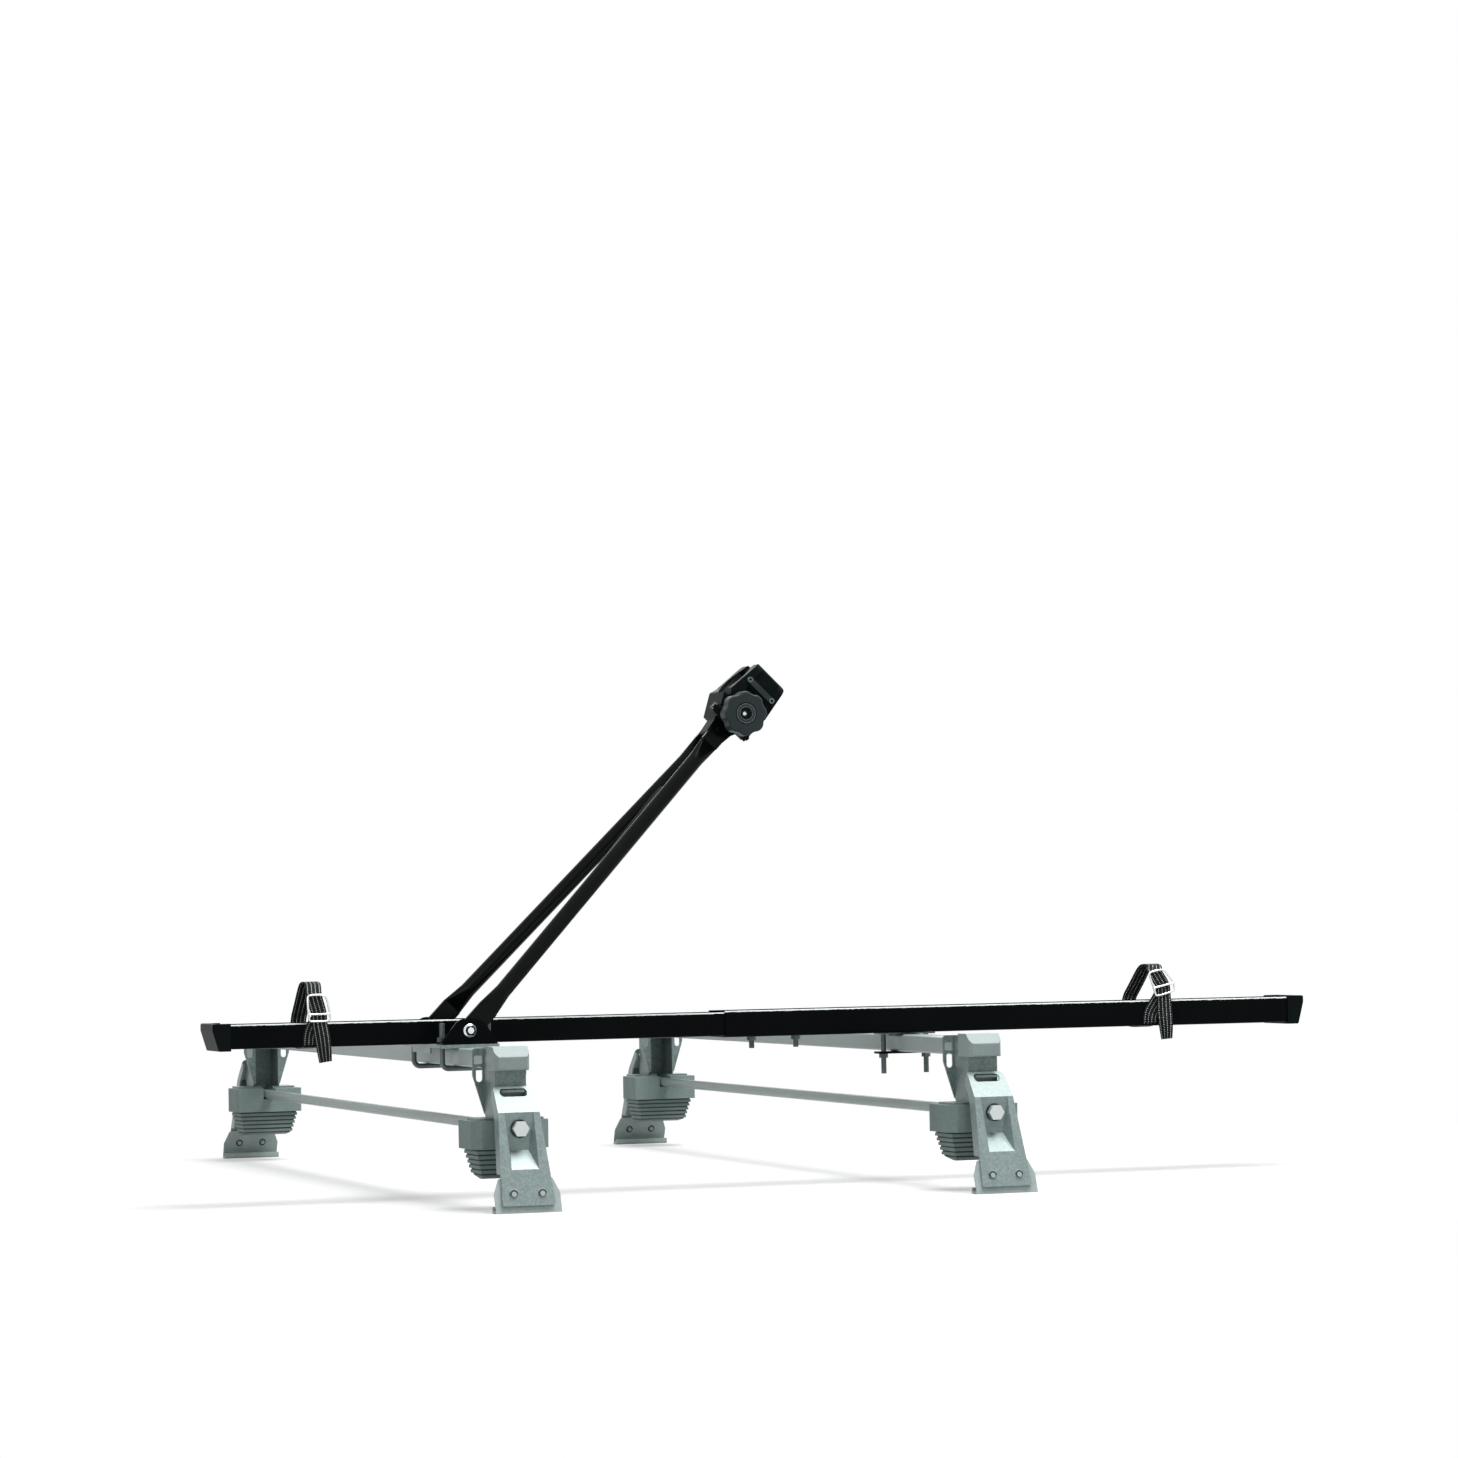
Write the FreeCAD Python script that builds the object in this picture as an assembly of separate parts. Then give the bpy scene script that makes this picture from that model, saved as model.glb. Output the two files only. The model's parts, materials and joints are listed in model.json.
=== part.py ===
import FreeCAD, Part
import math
import os

# A roof rack of two clamp-on crossbars, with an upright cycle carrier bolted across them.
# The frame is in millimetres: X runs along the wheel tray, to the rear; Y runs along the crossbars;
# Z is up. The origin is on the ground under the middle, so the rack stands on its four hook plates.
# Each piece is one solid, or a group of alike fasteners, in parts/NAME.step.

V = FreeCAD.Vector
os.makedirs("parts", exist_ok=True)

# Clearances
face_gap = 0.3          # between faces of pieces that move past each other
fit_gap = 0.15          # between pieces that are bolted or pushed together
pin_gap = 0.06          # radial room of a pin or thread in its eye
hole_gap = 0.4          # radial room round a bolt in a plain hole

# Crossbars
front_bar_x = -392.0
bar_spacing = 557.0
tube_width = 30.0
tube_height = 20.0
tube_wall = 2.0
tube_corner = 3.0
tube_bottom_z = 152.0
tube_half_length = 588.0

# Towers and end covers
tower_wall = 2.5
tower_depth = 44.0
tower_heel = 6.0        # rounding of the side walls' lower inner corner
tower_lip = 13.0
tower_lip_taper_z = 103.0
tower_lip_low_z = 145.0
tower_foot_width = 76.0
tower_tongue = 26.0
tower_tongue_thickness = 2.5
tower_tongue_z = 130.0
tower_tongue_reach = 12.0
square_hole = 9.5
oval_hole_width = 7.5
oval_hole_height = 17.0
cover_wall = 2.0
cover_skirt = 24.0
cover_nose = 11.0
cover_bevel = 11.0
cover_round = 2.0
cover_corner_depth = 5.0
cover_corner_width = 3.5

# Pads
pad_width = 88.0
pad_depth = 62.0
pad_bottom_z = 34.0
pad_block_z = 66.0
pad_top_z = 97.0
pad_chamfer = 10.0
pad_step = 6.5
pad_taper = 8.0
pad_ribs = 6
pad_rib_depth = 1.0
pad_gap_share = 0.35    # of a rib's pitch that is the hollow between two ribs
pad_slope = 6.0         # rise of the underside towards the rack's middle
pad_sole_share = 0.3    # of the pad's depth that lies flat on the roof

# Tie rods and clamp bolts
rod_z = 89.0
rod_diameter = 12.0
rod_room = 2.0
rod_inset = 12.65       # from the tower's face to the rod's end
bolt_diameter = 8.0
bolt_in_rod = 20.0
bolt_head_across = 16.0
bolt_head_height = 6.5
washer_diameter = 20.0
washer_thickness = 2.0
thread_runout = 4.0

# Clamp plates and hooks
plate_thickness = 2.5
plate_top_width = 43.0
plate_foot_width = 60.0
plate_top_z = 134.0
plate_knee_z = 106.5
plate_foot_z = 8.0
plate_knee_out = 26.0   # outwards from the plate's top to its knee
plate_foot_out = 60.0   # and to its foot
plate_side = 14.0
plate_side_low_z = 41.0
slot_length = 31.0
slot_height = 8.5
slot_above = 1.5        # room over the tongue
seat_top_width = 33.0   # the pressed seat of the bolt: upright floor, then a ramp out to the face
seat_low_width = 20.0
seat_foot_width = 31.0
seat_low_z = 66.0
seat_foot_z = 46.0
bolt_slot_drop = 4.2    # play below the bolt, so that the plate can rock
hook_width = 74.0
hook_shoulder = 7.0
hook_corner = 4.0
hook_thickness = 3.0
hook_height = 37.0
hook_lip = 12.0
hook_lip_rise = 7.0
rivet_diameter = 6.0
rivet_spacing = 32.0
rivet_z = 20.5
rivet_head = 1.4

# Wheel tray
tray_length = 1350.0
tray_y = -355.0
tray_width = 60.0
tray_height = 29.0
tray_wall = 1.5
tray_corner = 3.0
tray_rim = 4.5
tray_overlap = 140.0
tray_bolt_spacing = 55.0
tray_bolt = 6.0
cap_length = 21.0
cap_wall = 2.0
cap_slope = 7.0         # how far the cap's face draws back to the bottom
cap_brow = 8.0          # upright part of the cap's face

# Saddle, ears and U-bolts on the front bar
saddle_thickness = 4.0
saddle_length = 164.0
saddle_width = 70.0
saddle_lip = 6.0
u_rod = 6.0
u_leg_spacing = 54.0
u_offset = 60.0
u_top_above = 24.0
nut_across = 10.0
nut_height = 5.0
ear_offset = 79.0
ear_thickness = 3.0
ear_base = 64.0
ear_round = 13.0
ear_foot = 30.0
ear_base_rise = 4.0
pivot_height = 15.5
pivot_bolt = 8.0
pivot_collar = 3.0

# Clamp on the rear bar
long_bolt = 6.0
long_bolt_drop = 26.0   # below the tube
strap_plate_width = 22.0
strap_plate_thickness = 2.5

# Arm, in its own frame: u up along the arm, t across it in the XZ plane, y as on the rack
arm_angle = 46.0
arm_length = 497.0      # from the pivot to the knob's spindle
leg_diameter = 18.0
leg_wall = 1.5
leg_tab = 4.0
leg_tab_width = 24.0
leg_flat = 34.0
leg_swell = 26.0
leg_top_flat = 20.0
leg_drop = 26.0         # from the knob's spindle down to the bolt through the legs
leg_tip = 9.7           # above that bolt
leg_tip_inset = 1.0
brace_diameter = 7.0
brace_start = 40.0
brace_end = 30.0
stem_half = 12.0
stem_end = 40.0
head_bolt = 8.0

# Frame clamp on the arm's end
grip_diameter = 42.0
grip_height = 35.0      # middle of the gripped tube above the spindle
grip_pad = 1.5
jaw_half_depth = 30.0
jaw_wall = 7.0
jaw_length = 44.0
jaw_base_length = 60.0
jaw_opening = 12.0      # half the gap between the jaws' lips
jaw_part = 1.0          # half the gap between the jaws below the tube
jaw_round = 11.0
jaw_corner = 6.0
jaw_base_low = -16.0
jaw_base_step = -6.0
jaw_base_near_y = -17.0
stem_top_width = 28.0
stem_low_width = 22.0
hinge_y = -25.0
hinge_u = -12.0
hinge_pin = 5.0
hinge_barrel = 11.0
knuckle_inner = 20.3
knuckle_outer = 27.0
pin_half = 29.0
lug_half = 20.0
lug_top = 12.0
lug_thickness = 8.0
lug_inner_y = -23.0
spindle_slot_low = -5.8  # the lug's slot leaves room for its swing about the spindle
spindle_slot_high = 8.2
spindle_inner_y = 20.0
spindle_bore_y = 22.0
spindle_diameter = 8.0
knob_diameter = 52.0
knob_disc = 17.0
knob_boss = 6.0
knob_boss_diameter = 22.0
knob_lobes = 8
knob_lobe_depth = 2.2
knob_bevel = 1.5
knob_ring = 26.0
knob_ring_width = 1.5
knob_ring_depth = 1.2
recess_across = 13.5
recess_depth = 7.0
lock_diameter = 9.0
lock_depth = 8.0
lock_proud = 1.5        # out of the recess's floor
key_slit = 1.2
key_slit_depth = 1.0
knob_washer_diameter = 24.0
panel_inset = 8.0
panel_depth = 3.0
panel_height = 10.0
link_thickness = 2.5
link_rivet = 3.2
link_width = 6.5
link_spacing = 36.0
link_collar = 1.2       # the rivets' rims stand this far out of the link

# Straps
strap_width = 20.0
strap_thickness = 2.4
strap_rise = 44.0       # above the tray's rim
strap_crown = 19.0      # half its width at the top
strap_places = (("front", -557.0, 8.0, 21.5), ("rear", 481.0, 16.5, 18.5))   # x, bar above the rim, rise
strap_bend = 12.0
strap_shoulder = 10.0
strap_tail = 14.0       # below the tray's floor
buckle_wire = 2.8
buckle_below = 8.5      # of the loop below its bar
buckle_lean = 3.0

# Worked out from the sizes above
bar_places = (("front", front_bar_x), ("rear", front_bar_x + bar_spacing))
sides = (("near", 1.0), ("far", -1.0))
rear_bar_x = front_bar_x + bar_spacing
tube_top_z = tube_bottom_z + tube_height
front_floor_z = tube_top_z + saddle_thickness
rear_floor_z = front_floor_z - tray_wall - fit_gap
rim_z = front_floor_z + tray_height
pivot_z = front_floor_z + pivot_height
tower_half = tube_width / 2.0 + fit_gap + tower_wall
tower_face = tube_half_length + fit_gap + tower_wall
rod_end_reach = tower_face - rod_inset
tower_back = tower_face - tower_depth
plate_top_reach = tower_face + 1.0
plate_across = plate_thickness * 1.28       # the leaning strip's thickness measured along Y
lean_gap = plate_across * 0.963 - plate_thickness + 0.02   # from the plate's thickness to its outer face


def box(x0, x1, y0, y1, z0, z1):
    """A box between two corners, given in any order."""
    low = V(min(x0, x1), min(y0, y1), min(z0, z1))
    return Part.makeBox(abs(x1 - x0), abs(y1 - y0), abs(z1 - z0), low)


def rod(start, end, radius):
    """A round bar from one point to another."""
    line = V(*end) - V(*start)
    return Part.makeCylinder(radius, line.Length, V(*start), line)


def outline(points, place):
    """A closed wire through (a, b) or (a, b, corner radius) points, set in space by place."""
    flat = [V(p[0], p[1], 0) for p in points]
    radii = [p[2] if len(p) > 2 else 0.0 for p in points]
    stops = []
    for i, here in enumerate(flat):
        if radii[i] <= 0:
            stops.append((here, None, here))
            continue
        back = (flat[i - 1] - here).normalize()
        ahead = (flat[(i + 1) % len(flat)] - here).normalize()
        half = back.getAngle(ahead) / 2.0
        middle = (back + ahead).normalize()
        centre = here + middle * (radii[i] / math.sin(half))
        reach = radii[i] / math.tan(half)
        stops.append((here + back * reach, centre - middle * radii[i], here + ahead * reach))
    edges = []
    for i, (first, bend, last) in enumerate(stops):
        if bend is not None:
            edges.append(Part.Arc(place(first), place(bend), place(last)).toShape())
        following = stops[(i + 1) % len(stops)][0]
        if (following - last).Length > 1e-6:
            edges.append(Part.LineSegment(place(last), place(following)).toShape())
    return Part.Wire(edges)


def slab_xz(points, y0, y1):
    """An outline in X and Z, given thickness along Y."""
    wire = outline(points, lambda p: V(p.x, y0, p.y))
    return Part.Face(wire).extrude(V(0, y1 - y0, 0))


def slab_yz(points, x0, x1):
    """An outline in Y and Z, given thickness along X."""
    wire = outline(points, lambda p: V(x0, p.x, p.y))
    return Part.Face(wire).extrude(V(x1 - x0, 0, 0))


def slab_xy(points, z0, z1):
    """An outline in X and Y, given thickness along Z."""
    wire = outline(points, lambda p: V(p.x, p.y, z0))
    return Part.Face(wire).extrude(V(0, 0, z1 - z0))


def rectangle(a0, a1, b0, b1, radius=0.0):
    return [(a0, b0, radius), (a1, b0, radius), (a1, b1, radius), (a0, b1, radius)]


def hexagon(base, axis, across, height):
    """A hexagonal head or nut blank standing on base along axis."""
    radius = across / math.sqrt(3.0)
    corners = [(radius * math.cos(math.radians(60 * i)), radius * math.sin(math.radians(60 * i)))
               for i in range(6)]
    solid = slab_xy(corners, 0.0, height)
    solid.Placement = FreeCAD.Placement(V(*base), FreeCAD.Rotation(V(0, 0, 1), V(*axis)))
    return solid


def nut(base, axis, across, height, bore):
    """A hexagonal nut."""
    end = V(*base) + V(*axis) * height
    return hexagon(base, axis, across, height).cut(rod(base, (end.x, end.y, end.z), bore / 2.0))


def save(name, *shapes):
    """Write one node: a solid, or a group of separate solids."""
    solids = [solid for shape in shapes for solid in shape.Solids]
    for solid in solids:
        if not solid.isValid():
            raise RuntimeError("a solid is not sound in " + name)
    shape = solids[0] if len(solids) == 1 else Part.makeCompound(solids)
    shape.exportStep("parts/" + name + ".step")
    print(name, len(solids), "solids", round(sum(solid.Volume for solid in solids)), "mm3")


# Crossbar: tube and tie rod

def crossbar_tube():
    """Rectangular steel tube with rounded corners, open at both ends."""
    half = tube_width / 2.0
    outer = rectangle(-half, half, tube_bottom_z, tube_top_z, tube_corner)
    inner = rectangle(tube_wall - half, half - tube_wall, tube_bottom_z + tube_wall,
                      tube_top_z - tube_wall, tube_corner - tube_wall)
    return slab_xz(outer, -tube_half_length, tube_half_length).cut(
        slab_xz(inner, -tube_half_length, tube_half_length))


def tie_rod():
    """Round rod under the tube, bored at both ends for the clamp bolts."""
    bar = rod((0, -rod_end_reach, rod_z), (0, rod_end_reach, rod_z), rod_diameter / 2.0)
    depth = bolt_in_rod + thread_runout
    for end in (-rod_end_reach, rod_end_reach):
        inner = end - math.copysign(depth, end)
        bar = bar.cut(rod((0, end, rod_z), (0, inner, rod_z), bolt_diameter / 2.0 + pin_gap))
    return bar


# Foot: all of it is drawn as the near foot of a bar at x = 0, where outwards is towards -Y

def tower():
    """Pressed bracket: a box round the tube's end, side walls, holed lips and a foot flange."""
    foot_z = pad_top_z + tower_wall
    top_z = tube_top_z + fit_gap + tower_wall
    web = box(-tower_half, tower_half, -tower_face, tower_wall - tower_face, foot_z, top_z)
    shape = web
    for side in (-1.0, 1.0):
        inner = side * (tower_half - tower_wall)
        wall = [
            (-tower_face, foot_z), (-tower_face, top_z), (-tower_back, top_z),
            (-tower_back, foot_z + tower_heel, 4.0), (-tower_back - tower_heel, foot_z),
        ]
        shape = shape.fuse(slab_yz(wall, inner, side * tower_half))
        lip = [
            (inner, tower_lip_taper_z), (side * tower_half, tower_lip_taper_z),
            (side * (tower_half + tower_lip), tower_lip_low_z, 5.0),
            (side * (tower_half + tower_lip), top_z, 3.0), (inner, top_z),
        ]
        lip_solid = slab_xz(lip, -tower_back, -tower_back - tower_wall)
        middle = side * (tower_half + tower_lip * 0.5)
        half = square_hole / 2.0
        square_z = tube_top_z - 10.0
        square = rectangle(middle - half, middle + half, square_z - half, square_z + half, 2.0)
        oval_top = square_z - half - 2.5
        oval = rectangle(middle - oval_hole_width / 2.0 - side, middle + oval_hole_width / 2.0 - side,
                         oval_top - oval_hole_height, oval_top, oval_hole_width / 2.0 - 0.1)
        for hole in (square, oval):
            lip_solid = lip_solid.cut(slab_xz(hole, -tower_back + 1.0, -tower_back - tower_wall - 1.0))
        shape = shape.fuse(lip_solid)
    shelf = box(-tower_half, tower_half, -tower_face, -tower_back,
                tube_bottom_z - fit_gap - tower_wall, tube_bottom_z - fit_gap)
    roof = box(-tower_half, tower_half, -tower_face, -tower_back, tube_top_z + fit_gap, top_z)
    half = tower_foot_width / 2.0
    flange = slab_xy(rectangle(-half, half, -tower_face, -tower_back, 4.0), pad_top_z, foot_z)
    tongue_half = tower_tongue / 2.0
    tongue_out = -tower_face - tower_tongue_reach
    tongue = slab_xy([
        (-tongue_half, -tower_face + 1.0), (-tongue_half, tongue_out, 3.0), (tongue_half, tongue_out, 3.0),
        (tongue_half, -tower_face + 1.0),
    ], tower_tongue_z - tower_tongue_thickness, tower_tongue_z)
    for piece in (shelf, roof, flange, tongue):
        shape = shape.fuse(piece)
    return shape.cut(rod_tunnel()).removeSplitter()


def rod_tunnel():
    """Channel that the tie rod lies in, open upwards through the pad and the tower's flange."""
    half = rod_diameter / 2.0 + rod_room
    low = rod_z - rod_diameter / 2.0 - fit_gap
    return box(-half, half, -tower_face - pad_depth, -tower_back + pad_depth, low, rod_z + half + 3.0)


def end_cover():
    """Moulded cover over the tower's head, with a bevel above its face."""
    half = tower_half + fit_gap + cover_wall
    low = tube_bottom_z - 1.0
    high = tube_top_z + fit_gap + tower_wall + fit_gap + cover_wall
    face = -tower_face - cover_nose
    shell = slab_yz([
        (-tower_face + cover_skirt, low), (-tower_face + cover_skirt, high),
        (face + cover_bevel, high, cover_round), (face, high - cover_bevel, cover_round),
        (face, low, cover_round),
    ], -half, half)
    room = tower_half + fit_gap
    cavity = box(-room, room, -tower_face - fit_gap, -tower_face + cover_skirt + 1.0,
                 low - 1.0, high - cover_wall)
    shoulder = face + cover_corner_depth
    nose = half - cover_corner_width
    plan = [
        (-half, -tower_face + cover_skirt), (half, -tower_face + cover_skirt),
        (half, shoulder, cover_round), (nose, face, cover_round),
        (-nose, face, cover_round), (-half, shoulder, cover_round),
    ]
    return shell.cut(cavity).common(slab_xy(plan, low - 1.0, high + 1.0))


pad_face = tower_face + 4.0


def pad():
    """Rubber pad: a chamfered block, and below it a ribbed part that tapers to the roof."""
    half = pad_width / 2.0
    back = -pad_face + pad_depth
    plan = [
        (-half, back, 4.0), (half, back, 4.0), (half, -pad_face + pad_chamfer),
        (half - pad_chamfer, -pad_face), (pad_chamfer - half, -pad_face), (-half, -pad_face + pad_chamfer),
    ]
    block = slab_xy(plan, pad_block_z, pad_top_z)
    pitch = (pad_block_z - pad_bottom_z) / pad_ribs
    for i in range(pad_ribs):
        top = pad_block_z - pitch * i
        draw_in = pad_step + pad_taper * i / pad_ribs
        step = top - pitch * pad_gap_share
        for inset, high, low in ((draw_in, top, step), (draw_in - pad_rib_depth, step, top - pitch)):
            level = box(-half + inset, half - inset, -pad_face + inset, back - inset, low, high)
            block = block.fuse(level)
    under = slab_yz([
        (-pad_face - 1.0, pad_bottom_z - 1.0), (-pad_face - 1.0, pad_top_z + 1.0),
        (back + 1.0, pad_top_z + 1.0), (back + 1.0, pad_bottom_z + pad_slope),
        (-pad_face + pad_depth * pad_sole_share, pad_bottom_z),
    ], -pad_width, pad_width)
    return block.common(under).cut(rod_tunnel()).removeSplitter()


def plate_line(reach_in, thickness):
    """Outline in Y and Z of the clamp plate's bent strip, reach_in behind its outer face."""
    top_y = -plate_top_reach
    lean = [
        (top_y, plate_top_z), (top_y - plate_knee_out, plate_knee_z),
        (top_y - plate_foot_out, plate_foot_z),
    ]
    outer = [(y - plate_across + reach_in, z) for y, z in lean]
    inner = [(y + thickness, z) for y, z in reversed(outer)]
    return [(y, z) for y, z in outer] + inner


slot_z = tower_tongue_z + slot_above
seat_y = -plate_top_reach - plate_knee_out - plate_across


def polyhedron(faces):
    """A solid closed by flat faces, each a list of corners."""
    shell = Part.Shell([Part.Face(Part.makePolygon(corners + corners[:1])) for corners in faces])
    solid = Part.Solid(shell)
    if solid.Volume < 0:
        solid.reverse()
    return solid


def seat_wedge(grow, back, front):
    """The bolt seat's wedge: from the knee down an upright floor, then out along a ramp to the face."""
    def pair(width, y, z):
        half = width / 2.0 + grow
        return V(-half, y, z), V(half, y, z)
    face_foot = lean_y(seat_foot_z) - plate_across
    knee_l, knee_r = pair(seat_top_width, seat_y + back, plate_knee_z)
    low_l, low_r = pair(seat_low_width, seat_y + back, seat_low_z)
    foot_l, foot_r = pair(seat_foot_width, face_foot + back, seat_foot_z)
    ahead = V(0, -front, 0)
    return polyhedron([
        [knee_l, knee_r, low_r, low_l], [low_l, low_r, foot_r, foot_l],
        [knee_l, low_l, foot_l], [knee_r, foot_r, low_r],
        [knee_l, foot_l, foot_l + ahead, knee_l + ahead], [knee_r, knee_r + ahead, foot_r + ahead, foot_r],
        [knee_l, knee_l + ahead, knee_r + ahead, knee_r], [foot_l, foot_r, foot_r + ahead, foot_l + ahead],
        [knee_l + ahead, foot_l + ahead, foot_r + ahead, knee_r + ahead],
    ])


def plate_front(inset):
    """The clamp plate's outline seen from outside, drawn in by inset at its sides."""
    top = plate_top_width / 2.0 - inset
    foot = plate_foot_width / 2.0 - inset
    return [
        (-top, plate_top_z, 4.0), (top, plate_top_z, 4.0),
        (foot, plate_foot_z, 3.0), (-foot, plate_foot_z, 3.0),
    ]


def clamp_plate():
    """Pressed clamp plate: slotted and leaning at the top, with an upright seat and a ramp for the bolt."""
    half = plate_foot_width / 2.0
    deep = (-plate_top_reach - plate_foot_out - 20.0, -plate_top_reach + 20.0)
    face = slab_yz(plate_line(0.0, plate_across), -half, half).common(slab_xz(plate_front(0.0), *deep))
    flange = slab_yz(plate_line(0.0, plate_across + plate_side), -half, half)
    flange = flange.common(slab_xz(plate_front(0.0), *deep))
    flange = flange.cut(slab_xz(plate_front(plate_thickness), *deep))
    keep = box(-half, half, deep[0], -tower_face - face_gap - 0.5, plate_side_low_z, plate_top_z - 5.0)
    face = face.fuse(flange.common(keep))
    slot = rectangle(-slot_length / 2.0, slot_length / 2.0, slot_z - slot_height, slot_z,
                     slot_height / 2.0 - 0.1)
    face = face.cut(slab_xz(slot, *deep))
    face = face.fuse(seat_wedge(plate_thickness, plate_thickness, plate_thickness - 0.1))
    face = face.cut(seat_wedge(0.0, 0.0, plate_foot_out))
    bolt_room = bolt_diameter / 2.0 + hole_gap
    bolt_slot = rectangle(-bolt_room, bolt_room, rod_z - bolt_room - bolt_slot_drop, rod_z + bolt_room,
                          bolt_room - 0.1)
    face = face.cut(slab_xz(bolt_slot, *deep))
    for side in (-1.0, 1.0):
        face = rivet_hole(face, side)
    return face.removeSplitter()


def lean_y(z):
    """Y of the clamp plate's inner face below its knee."""
    share = (plate_knee_z - z) / (plate_knee_z - plate_foot_z)
    return -plate_top_reach - plate_knee_out - share * (plate_foot_out - plate_knee_out)


def rivet_rod(side, back, ahead, radius):
    """A round bar square to the leaning plate at a rivet's place, from back to ahead of its inner face."""
    middle = V(side * rivet_spacing / 2.0, lean_y(rivet_z), rivet_z)
    outward = V(0, plate_foot_z - plate_knee_z, plate_foot_out - plate_knee_out).normalize()
    return rod(tuple(middle + outward * back), tuple(middle + outward * ahead), radius)


def rivet(side):
    """Rivet through the plate and the hook, with a flat head outside."""
    radius = rivet_diameter / 2.0
    shank = rivet_rod(side, -hook_thickness - rivet_head, plate_thickness + rivet_head, radius)
    return shank.fuse(rivet_rod(side, plate_thickness + lean_gap, plate_thickness + lean_gap + rivet_head,
                                radius + rivet_head))


def rivet_hole(shape, side):
    """The shape with a rivet's hole through it."""
    return shape.cut(rivet_rod(side, -plate_foot_out, plate_foot_out, rivet_diameter / 2.0))


def hook_plate():
    """Hook riveted behind the clamp plate's foot, with its lip turned in and up."""
    half = hook_width / 2.0
    across = hook_thickness * 1.04
    top_y = lean_y(hook_height)
    low_y = lean_y(0.0)
    lip_y = low_y + across + hook_lip
    profile = [
        (top_y, hook_height), (low_y, 0.0), (lip_y, 0.0, 2.5),
        (lip_y, hook_lip_rise), (lip_y - hook_thickness, hook_lip_rise),
        (lip_y - hook_thickness, hook_thickness), (low_y + across - 1.0, hook_thickness, 1.5),
        (top_y + across, hook_height),
    ]
    shoulder_z = hook_height * 0.55
    front = [
        (-half, 0), (half, 0), (half, shoulder_z, hook_corner),
        (half - hook_shoulder, hook_height, hook_corner), (hook_shoulder - half, hook_height, hook_corner),
        (-half, shoulder_z, hook_corner),
    ]
    shape = slab_yz(profile, -half, half).common(
        slab_xz(front, low_y - 10.0, top_y + 30.0))
    for side in (-1.0, 1.0):
        shape = rivet_hole(shape, side)
    return shape


def clamp_washer():
    """Flat washer between the bolt's head and the plate's upright seat."""
    start = seat_y
    ring = rod((0, start, rod_z), (0, start - washer_thickness, rod_z), washer_diameter / 2.0)
    bore = bolt_diameter / 2.0 + fit_gap
    return ring.cut(rod((0, start, rod_z), (0, start - washer_thickness, rod_z), bore))


def clamp_bolt():
    """Hexagon bolt from the plate's seat through the foot into the tie rod's threaded end."""
    base = seat_y - washer_thickness
    shank = rod((0, base, rod_z), (0, -rod_end_reach + bolt_in_rod, rod_z), bolt_diameter / 2.0)
    head = hexagon((0, base, rod_z), (0, -1, 0), bolt_head_across, bolt_head_height)
    return head.fuse(shank)


foot_pieces = (
    ("end_cover", end_cover), ("tower", tower), ("pad", pad), ("clamp_plate", clamp_plate),
    ("clamp_washer", clamp_washer), ("clamp_bolt", clamp_bolt),
)


def set_foot(shape, bar_x, side):
    """Move the near foot's shape to its bar, or mirror it to the far end."""
    if side < 0:
        shape = shape.mirror(V(0, 0, 0), V(0, 1, 0))
    shape.translate(V(bar_x, 0, 0))
    return shape


def build_crossbars():
    for bar, bar_x in bar_places:
        for name, make in (("crossbar_tube", crossbar_tube), ("tie_rod", tie_rod)):
            shape = make()
            shape.translate(V(bar_x, 0, 0))
            save(bar + "_" + name, shape)
    for name, make in foot_pieces:
        shape = make()
        for bar, bar_x in bar_places:
            for side_name, side in sides:
                save("_".join((bar, side_name, name)), set_foot(shape.copy(), bar_x, side))
    hook = [hook_plate()] + [rivet(side) for side in (-1.0, 1.0)]
    for bar, bar_x in bar_places:
        for side_name, side in sides:
            save("_".join((bar, side_name, "hook_plate")),
                 *[set_foot(piece.copy(), bar_x, side) for piece in hook])


build_crossbars()


# Wheel tray: two channels that slide into each other, with capped ends

def channel(width, floor_z, top_z, x0, x1):
    """Steel channel with rims folded inwards along its tops."""
    half = width / 2.0
    rim = tray_rim
    wall = tray_wall
    bend = tray_corner - wall
    profile = [
        (-half, floor_z, tray_corner), (half, floor_z, tray_corner), (half, top_z, tray_corner),
        (half - rim, top_z), (half - rim, top_z - wall), (half - wall, top_z - wall, bend),
        (half - wall, floor_z + wall, bend), (wall - half, floor_z + wall, bend),
        (wall - half, top_z - wall, bend), (rim - half, top_z - wall),
        (rim - half, top_z), (-half, top_z, tray_corner),
    ]
    shape = slab_yz(profile, x0, x1)
    shape.translate(V(0, tray_y, 0))
    return shape


front_tray_width = tray_width - 2.0 * (tray_wall + fit_gap)
front_rim_z = rim_z - tray_wall - fit_gap
joint_places = (-tray_bolt_spacing / 2.0, tray_bolt_spacing / 2.0)
tray_end = tray_length / 2.0 - cap_slope - cap_wall - hole_gap


def tray_holes(shape, places, diameter):
    """Round holes through the tray's floor at (x, y from the tray's middle)."""
    for x, y in places:
        shape = shape.cut(rod((x, tray_y + y, front_floor_z - 8.0), (x, tray_y + y, front_floor_z + 8.0),
                              diameter / 2.0 + hole_gap))
    return shape


def front_tray():
    shape = channel(front_tray_width, front_floor_z, front_rim_z, -tray_end, tray_overlap / 2.0)
    return tray_holes(shape, [(x, 0.0) for x in joint_places], tray_bolt)


def rear_tray():
    """The wider half, which holds the front half inside its walls and rims."""
    shape = channel(tray_width, rear_floor_z, rim_z, -tray_overlap / 2.0, tray_end)
    clamp = [(rear_bar_x - u_leg_spacing / 2.0, 0.0), (rear_bar_x + u_leg_spacing / 2.0, 0.0)]
    shape = tray_holes(shape, [(x, 0.0) for x in joint_places], tray_bolt)
    return tray_holes(shape, clamp, long_bolt)


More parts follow.
